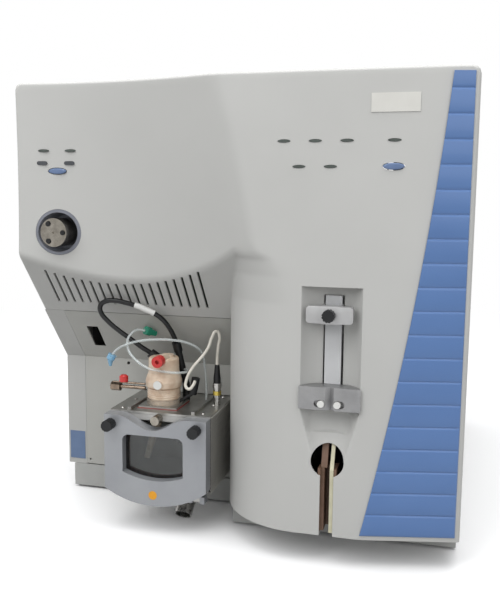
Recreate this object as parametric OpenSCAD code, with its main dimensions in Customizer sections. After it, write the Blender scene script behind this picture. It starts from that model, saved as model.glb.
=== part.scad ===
// Bench-top triple quadrupole mass spectrometer with an electrospray source.
// Millimetres, +Z up. X runs to the right from the cabinet's centreline,
// Y runs to the back from the flat front panel, Z starts at the bench.

/* [Cabinet] */
// Width of the cabinet
body_w = 620; // [580:10:760]
// Height of the cabinet above the bench
body_h = 628; // [600:10:780]
// Depth from the front panel to the back edge of the covers
body_d = 745; // [640:5:900]
// Height of the covers' lower rim above the bench
rim_z = 40; // [36:1:46]
// Height of the rubber feet
foot_h = 4; // [3:1:8]
// Wall thickness of the moulded covers
wall = 3; // [2.5:0.25:3.5]
// Radius of the front cover's outer corners
corner_round = 10; // [6:1:16]

/* [Front form] */
// Distance from the front panel back to the recessed panel behind the source
recess_y = 166; // [150:1:190]
// X of the vertical flank beside the source bay
flank_x = -16; // [-30:1:0]
// Radius of the rounded corner between the front panel and the flank
flank_r = 118; // [90:1:130]
// Height of the seam under the louvred chin
seam_z = 303; // [290:1:320]
// Angle at which the blue side strip folds back
fold_angle = 13; // [8:0.5:18]
// Number of louvre slots in the chin
louvre_count = 19; // [9:1:23]
// Width of one louvre slot
louvre_w = 2.6; // [2:0.1:4]

/* [Syringe pump] */
// X of the syringe channel's centreline
syringe_x = 143.5; // [120:0.5:160]
// Radius of the channel's round hollow
trough_r = 42; // [38:0.5:46]
// Depth of the channel behind the front panel
trough_depth = 25; // [20:0.5:28]
// Width of the white rail in the channel
rail_w = 21; // [16:0.5:24]
// Lead screw radius
screw_r = 4; // [3:0.25:5]

/* [Ion source] */
// Width of the source door
door_w = 151; // [130:1:160]
// Thickness of the source door
door_t = 20; // [14:1:22]
// Height of the source door's upper edge
door_top_z = 170; // [160:1:180]
// Distance of the door's face behind the front panel
door_y = 25; // [15:1:40]
// Radius of the spray probe at its waist
probe_r = 23.5; // [18:0.5:26]
// Outer radius of the drain tube
drain_r = 13; // [9:0.5:15]

/* [Round port] */
// Radius of the round port's dark well
port_r = 32; // [24:0.5:36]
// Radius of the nickel flange in the port
flange_r = 20; // [14:0.5:22]

/* [Vacuum system] */
// Radius of the turbo pump's rotor discs
rotor_r = 44; // [30:1:46]
// Radius of one quadrupole rod
rod_r = 4; // [3:0.25:5]
// Outer radius of a rear vacuum hose port
hose_r = 20; // [12:0.5:22]

/* [Hidden] */

$fn = 48;
gap = 0.3;             // seam between neighbouring panels
run = 0.05;            // radial running clearance of shafts
left = -body_w / 2;
right = body_w / 2;
back_y = body_d - 15;  // inner face of the rear panel

cream = "#c9c8c1";
light_grey = "#b9bcbc";
dark = "#26272b";
nickel = "#b4aea4";
steel = "#a9abad";
blue = "#7c9fcf";
deep_blue = "#3f5f9e";
peek = "#cdb48f";

// The datum is the middle of the base: half way between the knob and the rear spigots.
pusher_y = -5;
front_most = pusher_y - 11;
rear_most = back_y + 13;
mid_y = (front_most + rear_most) / 2;
module placed() {
  translate([0, -mid_y, 0]) children();
}

// ---------- shared outlines ----------

// Rectangle with round corners, from exact squares and circles.
module soft_rect(x0, x1, y0, y1, r) {
  translate([x0 + r, y0]) square([x1 - x0 - 2 * r, y1 - y0]);
  translate([x0, y0 + r]) square([x1 - x0, y1 - y0 - 2 * r]);
  for (x = [x0 + r, x1 - r], y = [y0 + r, y1 - r])
    translate([x, y]) circle(r);
}

// Pill shape of overall width w and height h, centred.
module pill(w, h) {
  square([w - h, h], center = true);
  for (s = [-1, 1])
    translate([s * (w - h) / 2, 0]) circle(h / 2);
}

// Extrudes an outline drawn in X and Z, from y0 back to y1.
module slab_y(y0, y1) {
  translate([0, y1, 0]) rotate([90, 0, 0]) linear_extrude(y1 - y0) children();
}

// Extrudes an outline drawn in Y and Z, from x0 to x1.
module slab_x(x0, x1) {
  translate([x0, 0, 0]) rotate([90, 0, 90]) linear_extrude(x1 - x0) children();
}

module block(x, y, z) {
  translate([x[0], y[0], z[0]]) cube([x[1] - x[0], y[1] - y[0], z[1] - z[0]]);
}

// Cylinder along Y between y0 and y1.
module rod_y(x, z, y0, y1, r, r2 = -1) {
  translate([x, y0, z]) rotate([-90, 0, 0])
    cylinder(r1 = r, r2 = r2 < 0 ? r : r2, h = y1 - y0);
}

// Cylinder along X between x0 and x1.
module rod_x(y, z, x0, x1, r) {
  translate([x0, y, z]) rotate([0, 90, 0]) cylinder(r = r, h = x1 - x0);
}

// Cylinder between two points.
module bar(a, b, r, r2 = -1) {
  v = b - a;
  translate(a) rotate([0, acos(v[2] / norm(v)), atan2(v[1], v[0])])
    cylinder(r1 = r, r2 = r2 < 0 ? r : r2, h = norm(v));
}

// ---------- the front cover's form ----------

chin_y = 31.5;                      // where the chin starts at the left edge
chin_slope = 1.2335;                // fall of the chin for each mm of depth
chin_z = seam_z + 82.5;
chin_len = sqrt(1 + chin_slope * chin_slope);
chin_angle = atan(chin_slope);
seam_y = chin_y + (chin_z - seam_z) / chin_slope;
bend_z = seam_z - (recess_y - seam_y) * chin_slope;   // slanted panel meets the upright one
function chin_at(y) = chin_z - (y - chin_y) * chin_slope;

flank_cx = flank_x + flank_r;

// The scooped upper left panel is a part of a leaning cone.
scoop_apex = [flank_x - 24, 81.6, -22];
scoop_half = 43.14;
scoop_lean = 49.19;
scoop_turn = -104.97;
scoop_axis = [sin(scoop_lean) * cos(scoop_turn), sin(scoop_lean) * sin(scoop_turn),
  cos(scoop_lean)];
// Y of the scooped surface at x, z: the far root of the cone's equation.
function scoop_y(x, z) =
  let (px = x - scoop_apex[0], pz = z - scoop_apex[2], c2 = pow(cos(scoop_half), 2),
    m = px * scoop_axis[0] + pz * scoop_axis[2],
    a = pow(scoop_axis[1], 2) - c2, b = 2 * m * scoop_axis[1],
    c = m * m - c2 * (px * px + pz * pz), d = sqrt(b * b - 4 * a * c),
    y1 = (-b - d) / (2 * a), y2 = (-b + d) / (2 * a))
  scoop_apex[1] + (abs(y1 + scoop_apex[1]) < abs(y2 + scoop_apex[1]) ? y1 : y2);

module scoop(i) {
  reach = 900;
  translate(scoop_apex) rotate([0, scoop_lean, scoop_turn])
    translate([0, 0, -i / sin(scoop_half)])
      cylinder(r1 = 0, r2 = reach * tan(scoop_half), h = reach, $fn = 180);
}

// The right edge folds back along a long arc, so the fold is a wide cone about Y.
fold_r = 4466;
fold_cx = right - 4477;
fold_cz = 1050;
module fold_ring(points) {
  translate([fold_cx, 0, fold_cz]) rotate([90, 0, 0]) rotate([0, 0, -18])
    rotate_extrude(angle = 16, $fn = 900) polygon(points);
}

module fold_cut(i) {
  r = fold_r - i * tan(fold_angle / 2);
  slope = tan(fold_angle);
  fold_ring([[r - 20, 20 * slope - i], [r + 400, -400 * slope - i], [r + 400, 20 * slope - i]]);
}

module right_plan(i, y_end) {
  intersection() {
    union() {
      translate([flank_cx, i]) square([right - i - flank_cx, y_end - i]);
      translate([flank_x + i, flank_r]) square([flank_r, y_end - flank_r + 1]);
      translate([flank_cx, flank_r]) circle(flank_r - i, $fn = 160);
    }
    translate([flank_x + i, i]) square([right - flank_x - 2 * i, y_end - i]);
  }
}

module upper_left(i, y_end) {
  rise = i * chin_len;
  slab_x(left + i, flank_cx) polygon([
    [i, chin_at(i) + rise],
    [seam_y + (rise - i) / chin_slope, seam_z + i],
    [y_end, seam_z + i], [y_end, body_h - i], [i, body_h - i]]);
}

module cover_form(i) {
  y_end = recess_y + (i > 0 ? 1 : 0);
  low = rim_z - (i > 0 ? 1 : 0);
  r = max(corner_round - i, 1);
  intersection() {
    difference() {
      union() {
        translate([0, 0, low]) linear_extrude(body_h - i - low) right_plan(i, y_end);
        upper_left(i, y_end);
      }
      scoop(i);
      fold_cut(i);
    }
    slab_y(-1, y_end + 1) soft_rect(left + i, right - i, low, body_h - i, r);
  }
}

// ---------- places on the front ----------

light_w = 16;
light_h = 4.4;
upper_z = body_h - 85;
lower_z = body_h - 116;
front_lights = [[79.6, upper_z], [118.6, upper_z], [157.4, upper_z], [214, upper_z],
  [98.8, lower_z], [137.8, lower_z]];
left_lights = [[left + 39, body_h - 92], [left + 78, body_h - 92]];
start_pos = [214, lower_z];
start_size = [25.5, 8.6];
mode_pos = [left + 58, body_h - 120];
mode_size = [26.5, 8.6];
mode_y = scoop_y(mode_pos[0], mode_pos[1]);
button_play = 0.6;
port_pos = [left + 57, 423];
port_y = scoop_y(port_pos[0], port_pos[1]);

trough_cy = trough_depth - trough_r;
trough_top = 364;
trough_mid = 207;
trough_low = 140;
rail_slit = 2.6;
window_w = rail_w + 2 * rail_slit;
rail_z = [214, 352];
keyhole_z = 139;
keyhole_r = 21.5;
slot_w = 17.6;

// The channel's hollow, grown by o.
module trough(o) {
  translate([syringe_x, trough_cy, 0]) {
    translate([0, 0, trough_mid])
      cylinder(r = trough_r + o, h = trough_top + o - trough_mid, $fn = 96);
    translate([0, 0, trough_low - o])
      cylinder(r1 = trough_r * 0.62 + o, r2 = trough_r + o, h = trough_mid - trough_low + o,
        $fn = 96);
  }
}

slot_x0 = left + 32;
slot_x1 = flank_x - 30;
arc_x = left + 141;
arc_r = 272;
arc_s = 61;
slot_s = 18.7;
module louvres() {
  pitch = (slot_x1 - slot_x0) / (louvre_count - 1);
  for (k = [0 : louvre_count - 1]) {
    x = slot_x0 + k * pitch;
    top_s = arc_s + arc_r - sqrt(arc_r * arc_r - pow(x - arc_x, 2));
    translate([0, seam_y, seam_z]) rotate([180 - chin_angle, 0, 0])
      translate([x - louvre_w / 2, slot_s, -3 * wall])
        cube([louvre_w, top_s - slot_s, 6 * wall]);
  }
}

// ---------- covers and panels ----------

module front_cover() {
  placed() {
    color(cream) difference() {
      union() {
        difference() {
          cover_form(0);
          cover_form(wall);
        }
        intersection() {
          cover_form(0);
          trough(wall);
        }
      }
      trough(0);
      slab_y(-1, trough_depth + 2 * wall) {
        translate([syringe_x - window_w / 2, rail_z[0]])
          square([window_w, rail_z[1] - rail_z[0]]);
        translate([syringe_x - 1.5, keyhole_z]) circle(keyhole_r);
        translate([syringe_x - 1.5 - slot_w / 2, rim_z - 1]) square([slot_w, keyhole_z - rim_z]);
      }
      louvres();
      rod_y(port_pos[0], port_pos[1], -1, port_y + 30, port_r + gap);
      slab_y(-1, wall + 1) {
        for (p = front_lights) translate(p) pill(light_w + 0.4, light_h + 0.4);
        translate(start_pos) pill(start_size[0] + 2 * button_play, start_size[1] + 2 * button_play);
      }
      slab_y(20, mode_y + 20) {
        for (p = left_lights) translate(p) pill(light_w + 0.4, light_h + 0.4);
        translate(mode_pos) pill(mode_size[0] + 2 * button_play, mode_size[1] + 2 * button_play);
      }
    }
  }
}

rib_count = 20;
accent_t = 0.8;
rib_t = 0.5;
// Sheet of thickness t lying on the folded side strip.
module fold_sheet(t) {
  slope = tan(fold_angle);
  lift = 0.1;
  fold_ring([[fold_r + 2, lift + t - 2 * slope], [fold_r + 2, lift - 2 * slope],
    [fold_r + 400, lift - 400 * slope], [fold_r + 400, lift + t - 400 * slope]]);
}
module accent_outline() {
  soft_rect(right - 200, right - 6, rim_z + 6, body_h - 7, 3);
}
module accent_panel() {
  placed() {
    pitch = (body_h - rim_z - 34) / (rib_count - 0.5);
    color(blue) {
      intersection() {
        fold_sheet(accent_t);
        slab_y(-5, 60) accent_outline();
      }
      intersection() {
        fold_sheet(accent_t + rib_t);
        slab_y(-5, 60) intersection() {
          accent_outline();
          for (k = [0 : rib_count - 1])
            translate([right - 201, rim_z + 12 + k * pitch]) square([200, pitch - 2]);
        }
      }
    }
  }
}

module status_lights() {
  placed() {
    color("#3a3f3c") {
      slab_y(-0.4, 4) for (p = front_lights) translate(p) pill(light_w, light_h);
      for (p = left_lights)
        slab_y(scoop_y(p[0], p[1]) - 1.6, scoop_y(p[0], p[1]) + 5) translate(p) pill(light_w, light_h);
    }
  }
}

strip_w = 31.5;
hole_x = [left + 58, left + 77];

// Slanted panel under the louvres, with its finger hole.
module access_panel() {
  placed() {
    color(cream) difference() {
      slab_x(left + strip_w + gap, flank_x - gap) polygon([
        [seam_y + gap, seam_z - gap * chin_slope - gap], [recess_y, bend_z + gap],
        [recess_y + wall, bend_z + gap],
        [seam_y + gap + wall * chin_len / chin_slope, seam_z - gap * chin_slope - gap]]);
      slab_y(100, 170) polygon([[hole_x[0], bend_z + 22], [hole_x[1], bend_z + 22],
        [hole_x[1], bend_z + 57], [hole_x[0], bend_z + 57]]);
    }
  }
}

source_x = flank_x - 88;
house_x = [source_x - 72, source_x + 72];
house_z = [62, 168];
house_back = recess_y + 6;

module lower_panel() {
  placed() {
    color(cream) difference() {
      slab_y(recess_y, recess_y + wall) difference() {
        translate([left + strip_w + gap, rim_z + 1])
          square([flank_x - left - strip_w - 2 * gap, bend_z - rim_z - 1]);
        translate([house_x[0] - 0.5, house_z[0] - 0.5])
          square([house_x[1] - house_x[0] + 5, house_z[1] - house_z[0] + 5]);
      }
      rod_y(left + 107, bend_z - 7, recess_y - 1, recess_y + 5, 2.5);
      rod_y(left + 38, rim_z + 8, recess_y - 1, recess_y + 5, 1.8);
    }
  }
}

hood_z = body_h - 30;
module side_profile(i) {
  polygon([[seam_y + gap + i * chin_len / chin_slope, seam_z - gap],
    [recess_y + i, bend_z + (i > 0 ? i * (chin_len - chin_slope) : 0) - gap], [recess_y + i, rim_z],
    [back_y + (i > 0 ? 1 : 0), rim_z], [back_y + (i > 0 ? 1 : 0), seam_z - gap]]);
}

module left_side_cover() {
  placed() {
    color(cream) {
      difference() {
        slab_x(left, left + strip_w) side_profile(0);
        slab_x(left + wall, left + strip_w + 1) side_profile(wall);
      }
      block([left, left + wall], [recess_y + gap, back_y], [seam_z - gap, hood_z - gap]);
    }
  }
}

module right_side_cover() {
  placed() {
    color(cream) block([right - wall, right], [recess_y + gap, back_y], [rim_z, hood_z - gap]);
  }
}

vent_rows = 14;
module top_cover() {
  placed() {
    color(cream) difference() {
      slab_y(recess_y + gap, back_y) difference() {
        soft_rect(left, right, hood_z - 20, body_h, corner_round);
        soft_rect(left + wall, right - wall, hood_z - 40, body_h - wall, corner_round - wall);
        translate([left - 1, hood_z - 41]) square([body_w + 2, 41]);
      }
      for (k = [0 : vent_rows - 1])
        block([-170, 170], [back_y - 60, back_y - 57] - [1, 1] * k * 12, [body_h - 10, body_h + 1]);
    }
  }
}

fan_pos = [170, body_h - 128];
fan_half = 60;
inlet_pos = [-230, 90];
hose_pos = [[120, 110], [190, 110]];
gas_pos = [[30, 120], [60, 120]];
rear_half = body_w / 2 - wall - gap;

module rear_panel() {
  placed() {
    color(light_grey) slab_y(back_y - 2, back_y) difference() {
      soft_rect(-rear_half, rear_half, rim_z, body_h - wall - gap, corner_round - wall);
      translate(fan_pos) difference() {
        circle(fan_half - 4);
        for (r = [16, 30, 44]) difference() {
          circle(r + 1);
          circle(r - 1);
        }
        for (a = [0, 90]) rotate(a) square([2 * fan_half, 3], center = true);
        circle(8);
      }
      translate(inlet_pos + [-17, -17.3]) square([71, 34.6]);
      for (p = hose_pos) translate(p) circle(hose_r + gap);
      for (p = gas_pos) translate(p) circle(7 + gap);
    }
  }
}

// Plinth outline, inset by i; the plinth steps back under the source bay.
plinth_y = 163;
plinth_front = 91;
module plinth(i) {
  polygon([[left + 11 + i, plinth_y + i], [flank_x + 8 + i, plinth_y + i],
    [flank_x + 8 + i, plinth_front + i], [right - 3 - i, plinth_front + i],
    [right - 3 - i, back_y - 4 - i], [left + 11 + i, back_y - 4 - i]]);
}
floor_z = foot_h + 2.5;
shelf_z = 205;
post = 20;
post_at = [[left + wall + gap, recess_y + 46], [right - wall - gap - post, recess_y + 46],
  [left + wall + gap, back_y - 30], [right - wall - gap - post, back_y - 30]];
module chassis() {
  placed() {
    color("#8f9396") {
      difference() {
        translate([0, 0, foot_h]) linear_extrude(rim_z - foot_h) plinth(0);
        translate([0, 0, floor_z]) linear_extrude(rim_z) plinth(2.5);
        block([left, post_at[0][0] + post + gap], [post_at[0][1] - gap, post_at[0][1] + post + gap],
          [floor_z, rim_z + 1]);
      }
      for (p = post_at)
        translate([p[0], p[1], floor_z]) difference() {
          cube([post, post, hood_z + 8 - floor_z]);
          translate([p[0] < 0 ? 2 : -1, 2, -1]) cube([post - 1, post, body_h]);
        }
      for (y = [post_at[0][1], post_at[2][1]])
        block([left, right] + [1, -1] * (wall + 12), [y, y + post], [hood_z + 2, body_h - wall - gap]);
      difference() {
        block([post_at[0][0] + 2, right - wall - gap - 2], [recess_y + 48, back_y - 12],
          [shelf_z, shelf_z + 2]);
        block([post_at[1][0] - gap, right], [0, post_at[1][1] + post + gap], [0, body_h]);
      }
    }
  }
}

module feet() {
  placed() {
    color("#2a2a2c") for (x = [left + 40, right - 40], y = [plinth_y + 30, back_y - 40])
      translate([x, y, 0]) cylinder(r = 13, h = foot_h);
  }
}

// ---------- round port ----------

port_back = port_y + 24;
module port_well() {
  placed() {
    color("#4a5258") difference() {
      translate([port_pos[0], 0, port_pos[1]]) rotate([-90, 0, 0]) rotate_extrude($fn = 96)
        polygon([[flange_r + gap, port_back], [port_r - 8, port_back], [port_r - 2, port_y - 14],
          [port_r, port_y - 14], [port_r, port_back + 3], [flange_r + gap, port_back + 3]]);
      scoop(0.2);
    }
  }
}

port_face = port_y - 15;
module port_flange() {
  placed() {
    color(nickel) difference() {
      union() {
        rod_y(port_pos[0], port_pos[1], port_face, port_back + 4, flange_r);
        rod_y(port_pos[0], port_pos[1], port_back + 3, port_back + 9, port_r - 3);
        rod_y(port_pos[0], port_pos[1], port_back + 8, recess_y + 30, flange_r - 8);
      }
      for (a = [0, 120, 240])
        rod_y(port_pos[0] + 14.4 * cos(a), port_pos[1] + 14.4 * sin(a), port_face - 1,
          port_face + 4, 3.6);
      rod_y(port_pos[0], port_pos[1], port_face - 1, port_face + 2, 1.6);
    }
  }
}

// ---------- syringe pump ----------

rail_y = trough_depth - 6;
screw_y = 43;
ear_z = [204, 362];
ear_t = 6;
module syringe_rail() {
  placed() {
    color("#d8d8d4") difference() {
      union() {
        block([syringe_x - rail_w / 2, syringe_x + rail_w / 2], [rail_y, rail_y + 12],
          [rail_z[0] + gap, rail_z[1] - gap]);
        block([syringe_x - rail_w / 2, syringe_x + rail_w / 2], [trough_depth + wall + gap, rail_y + 12],
          ear_z);
        for (z = [ear_z[0], ear_z[1] - ear_t])
          block([syringe_x - rail_w / 2, syringe_x + rail_w / 2], [rail_y + 11, screw_y + 9],
            [z, z + ear_t]);
      }
      translate([syringe_x, screw_y, ear_z[0] - 1]) cylinder(r = screw_r + run, h = 200);
    }
  }
}

// A coupling joins the screw to the motor's rotor, which turns inside the motor's can.
coupler_r = 11.4;
coupler_h = 30;
armature_r = 10.5;
armature_h = 26;
armature_z = ear_z[0] - 31;
module lead_screw() {
  placed() {
    color(steel) translate([syringe_x, screw_y, 0]) {
      translate([0, 0, ear_z[0] - 14]) cylinder(r = screw_r, h = ear_z[1] - ear_z[0] + 13);
      translate([0, 0, ear_z[0] + ear_t + gap]) cylinder(r = coupler_r, h = coupler_h, $fn = 64);
      translate([0, 0, armature_z]) cylinder(r = armature_r, h = armature_h, $fn = 64);
    }
  }
}

module syringe_motor() {
  placed() {
    z = [ear_z[0] - 40, ear_z[0] - gap];
    color("#3c3e42") difference() {
      block([syringe_x - 21, syringe_x + 21], [trough_depth + wall + 2, screw_y + 22], z);
      translate([syringe_x, screw_y, armature_z - 1])
        cylinder(r = armature_r + 0.5, h = armature_h + 2, $fn = 64);
      translate([syringe_x, screw_y, z[1] - 10]) cylinder(r = screw_r + run, h = 20);
    }
  }
}

pusher_z = [318, 341];
pusher_mid = (pusher_z[0] + pusher_z[1]) / 2;
plate_x = rail_w / 2 + 0.6;
plate_t = rail_slit - 1.2;
knob_bore = 3;
module syringe_pusher() {
  placed() {
    color("#b7b6b2") difference() {
      union() {
        slab_y(pusher_y, pusher_y + 13) difference() {
          union() {
            translate([syringe_x - 2 - 29, pusher_z[0] + 3])
              soft_rect(0, 58, 0, pusher_z[1] - pusher_z[0] - 6, 8);
            soft_rect(syringe_x - 15, syringe_x + 13, pusher_z[0], pusher_z[1], 4);
          }
        }
        for (s = [-1, 1])
          translate([syringe_x + s * (plate_x + plate_t / 2) - plate_t / 2, pusher_y + 12, pusher_z[0]])
            cube([plate_t, screw_y + 5 - pusher_y - 12, pusher_z[1] - pusher_z[0]]);
        block([syringe_x - plate_x - plate_t, syringe_x + plate_x + plate_t],
          [rail_y + 12 + 2, screw_y + 9], [pusher_z[0], pusher_z[1]]);
      }
      translate([syringe_x, screw_y, pusher_z[0] - 1]) cylinder(r = screw_r + run, h = 30);
      rod_y(syringe_x - 2, pusher_mid, pusher_y - 1, pusher_y + 9, knob_bore + run);
    }
  }
}

module pusher_knob() {
  placed() {
    color(dark) {
      difference() {
        rod_y(syringe_x - 2, pusher_mid, pusher_y - 11, pusher_y - 0.5, 8);
        for (a = [0 : 30 : 330])
          rod_y(syringe_x - 2 + 8.3 * cos(a), pusher_mid + 8.3 * sin(a), pusher_y - 12, pusher_y, 1);
      }
      rod_y(syringe_x - 2, pusher_mid, pusher_y - 1, pusher_y + 8, knob_bore);
    }
  }
}

clamp_z = [208, 238];
clamp_face = -4;
pocket_z = 216;
pocket_x = [-12.5, 12.5];
groove_side = 8;
pocket_w = 14;
pocket_h = 9;
button_w = 9;
button_h = 8;
module clamp_pocket(k) {
  translate([syringe_x + pocket_x[k], pocket_z]) pill(pocket_w, pocket_h);
}
module syringe_clamp() {
  placed() {
    color("#b3b3b0") difference() {
      intersection() {
        translate([syringe_x, trough_cy, clamp_z[0]]) cylinder(r = trough_r - gap, h = 60, $fn = 96);
        slab_y(clamp_face, rail_y - gap) union() {
          translate([syringe_x - 40, clamp_z[0]]) square([80, 16]);
          intersection() {
            translate([syringe_x - 40, clamp_z[0]]) square([80, clamp_z[1] - clamp_z[0]]);
            translate([syringe_x, clamp_z[1] - 76]) circle(76, $fn = 120);
          }
        }
      }
      translate([syringe_x + 0.5, clamp_face, clamp_z[0] - 1]) rotate([0, 0, 45])
        translate([-groove_side / 2, -groove_side / 2, 0]) cube([groove_side, groove_side, 80]);
      slab_y(clamp_face - 1, clamp_face + 7) {
        clamp_pocket(0);
        clamp_pocket(1);
      }
    }
  }
}

module clamp_button(s) {
  k = s < 0 ? 0 : 1;
  x = syringe_x + pocket_x[k] - s * (pocket_w - button_w - 0.8) / 2;
  color("#e4e4e0") slab_y(clamp_face - 3, clamp_face + 6.7) translate([x, pocket_z])
    pill(button_w, button_h);
}
module clamp_button_left() { placed() clamp_button(-1); }
module clamp_button_right() { placed() clamp_button(1); }

// Channel that leads the sample tubing down behind the slot.
module tubing_guide() {
  placed() {
    x = syringe_x - 1.5;
    color("#6b4a3a") difference() {
      block([x - 12, x + 12], [wall + gap, 30], [rim_z + 4, keyhole_z - 10]);
      block([x - 4, x + 4], [wall, 28], [rim_z, keyhole_z]);
      block([x - 8.5, x - 3], [wall, 8], [rim_z, keyhole_z]);
      block([x + 3, x + 8.5], [wall, 8], [rim_z, keyhole_z]);
    }
  }
}

// ---------- push buttons ----------

module push_button(p, size, y) {
  slab_y(y - 1.6, y + 9) translate(p) pill(size[0], size[1]);
  slab_y(y + 6, y + 8) translate(p) pill(size[0] + 5, size[1] + 5);
}
module start_button() { placed() color(deep_blue) push_button(start_pos, start_size, 0); }
module mode_button() { placed() color(deep_blue) push_button(mode_pos, mode_size, mode_y); }

// ---------- ion source ----------

house_front = door_y + door_t + gap;
chamber_x = [house_x[0] + 8, house_x[1] - 8];
chamber_z = [house_z[0] + 8, house_z[1] - 8];
cone_z = 116;
cone_r = 20;
probe_x = source_x - 10;
probe_y = 90;
nozzle_r = 13;
drain_x = source_x + 25;
drain_y = 92;
adjust_x = source_x - 1;
adjust_z = house_z[1] - 4;
adjust_r = 2.5;
hinge_y = door_y + door_t + 7;
hinge_z = 50;
hinge_r = 3;
lug_x = [source_x - 55, source_x + 55];
lug_w = 10;

module source_housing() {
  placed() {
    color("#8d8f92") difference() {
      union() {
        block(house_x, [house_front, house_back], house_z);
        for (x = lug_x) {
          rod_x(hinge_y, hinge_z, x - lug_w / 2, x + lug_w / 2, 6);
          block([x - lug_w / 2, x + lug_w / 2], [hinge_y - 6, hinge_y + 6], [hinge_z, house_z[0] + 1]);
        }
      }
      block(chamber_x, [house_front - 1, recess_y - 14], chamber_z);
      rod_y(source_x, cone_z, recess_y - 15, house_back + 1, cone_r + gap);
      translate([probe_x, probe_y, chamber_z[1] - 1]) cylinder(r = nozzle_r + 5, h = 20);
      translate([drain_x, drain_y, house_z[0] - 1]) cylinder(r = drain_r - 4, h = 20);
      rod_y(adjust_x, adjust_z, house_front - 1, house_front + 22, adjust_r + run);
      for (x = lug_x) rod_x(hinge_y, hinge_z, x - lug_w, x + lug_w, hinge_r + run);
    }
  }
}

grille_t = 3;
module source_grille() {
  placed() {
    x = [house_x[1] + gap, house_x[1] + gap + grille_t];
    y = [house_front + 3, recess_y - 6];
    color("#4b4c4e") difference() {
      block(x, y, house_z);
      for (k = [0 : 8], j = [0 : 7])
        translate([x[0] - 1, y[0] + 8 + k * 12, house_z[0] + 10 + j * 12]) rotate([45, 0, 0])
          cube([grille_t + 2, 5.5, 5.5]);
    }
  }
}

top_z = house_z[1] + gap;
plate_z = top_z + 3.5;
pad_z = plate_z + 3;
module source_top() {
  placed() {
    color("#6e7072") difference() {
      union() {
        block([house_x[0] - 3, house_x[1] + 3.5], [house_front, recess_y - 1], [top_z, plate_z]);
        for (x = [house_x[0] + 22, house_x[1] - 26])
          block([x, x + 5], [house_front + 4, recess_y - 3], [plate_z - 0.5, plate_z + 4]);
        block([probe_x - 29, probe_x + 29], [probe_y - 27, probe_y + 27], [plate_z - 0.5, pad_z]);
      }
      translate([probe_x, probe_y, top_z - 1]) cylinder(r = nozzle_r + 5, h = 20);
    }
  }
}

// Door outline: a straight upper edge with a soft dip, and a round lower edge.
door_x = [source_x - 75.5, source_x - 75.5 + door_w];
dip_x = source_x - 4;
dip_half = 52;
dip_depth = 19;
belly_r = 134;
belly_z = 42;
shoulder_z = 66;
module door_outline() {
  intersection() {
    polygon(concat(
      [[door_x[0], belly_z - 5], [door_x[1], belly_z - 5], [door_x[1], door_top_z]],
      [for (k = [0 : 16]) let (u = 1 - k / 8)
        [dip_x + u * dip_half, door_top_z - dip_depth * (1 + cos(180 * u)) / 2]],
      [[door_x[0], door_top_z]]));
    union() {
      translate([dip_x, belly_z + belly_r]) circle(belly_r, $fn = 160);
      translate([door_x[0] - 1, shoulder_z + 4]) square([door_w + 2, 200]);
    }
  }
}
// Window outline, grown by o: square above and round below.
window_x = [source_x - 48, source_x + 42];
window_z = [79, 143];
window_belly = 120;
module window_outline(o) {
  intersection() {
    soft_rect(window_x[0] - o, window_x[1] + o, window_z[0] - o, window_z[1] + o, 9);
    translate([(window_x[0] + window_x[1]) / 2 + 2, window_z[0] + window_belly])
      circle(window_belly + o, $fn = 160);
  }
}
knob_x = [source_x - 65, source_x + 61];
knob_z = 157;
knob_shaft = 3;
door_back = door_y + door_t;
module source_door() {
  placed() {
    color("#aeb3b8") difference() {
      union() {
        slab_y(door_y, door_back) door_outline();
        for (x = lug_x, s = [-1, 1]) {
          c = x + s * (lug_w / 2 + gap + 3.5);
          block([c - 3.5, c + 3.5], [door_back - 1, hinge_y + 5], [hinge_z - 5, hinge_z + 5]);
        }
        for (x = lug_x) rod_x(hinge_y, hinge_z, x - lug_w / 2 - 4, x + lug_w / 2 + 4, hinge_r);
      }
      slab_y(door_y - 1, door_back + 1) window_outline(0);
      slab_y(door_back - 7, door_back + 1) window_outline(5 + gap);
      for (x = knob_x) rod_y(x, knob_z, door_y - 1, door_back + 1, knob_shaft + run);
    }
  }
}

module door_window() {
  placed() {
    color("#dfe6e8", 0.35) slab_y(door_back - 7 + gap, door_back - 4) window_outline(5);
  }
}

module door_gasket() {
  placed() {
    color("#6a4f45") slab_y(door_back - 4, door_back - 0.5) difference() {
      window_outline(5);
      window_outline(-4);
    }
  }
}

module door_knob(x) {
  color(dark) {
    difference() {
      rod_y(x, knob_z, door_y - 16, door_y - gap, 8);
      for (a = [0 : 30 : 330])
        rod_y(x + 8.4 * cos(a), knob_z + 8.4 * sin(a), door_y - 17, door_y, 1);
    }
    rod_y(x, knob_z, door_y - 1, door_back - 1, knob_shaft);
  }
}
module door_knob_left() { placed() door_knob(knob_x[0]); }
module door_knob_right() { placed() door_knob(knob_x[1]); }

// Cone with the orifice that lets the ions into the vacuum.
module sweep_cone() {
  placed() {
    color(steel) difference() {
      translate([source_x, 0, cone_z]) rotate([-90, 0, 0]) rotate_extrude($fn = 96)
        polygon([[0.6, 116], [3, 116], [16, 142], [cone_r, 144], [cone_r, house_back], [0.6, house_back]]);
    }
  }
}

module probe_adjuster() {
  placed() {
    color(nickel) {
      difference() {
        rod_y(adjust_x, adjust_z, door_y + 4, house_front - gap, 6.5);
        for (a = [0 : 30 : 330])
          rod_y(adjust_x + 6.8 * cos(a), adjust_z + 6.8 * sin(a), door_y + 3, house_front - 5, 0.8);
      }
      rod_y(adjust_x, adjust_z, door_y + 10, house_front + 20, adjust_r);
    }
  }
}

ring_z = pad_z + 8;
module probe_ring() {
  placed() {
    color("#c9bfb0", 0.6) translate([probe_x, probe_y, pad_z]) difference() {
      cylinder(r = probe_r + 1.5, h = ring_z - pad_z);
      translate([0, 0, -1]) cylinder(r = probe_r - 3, h = 20);
    }
  }
}

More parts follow.
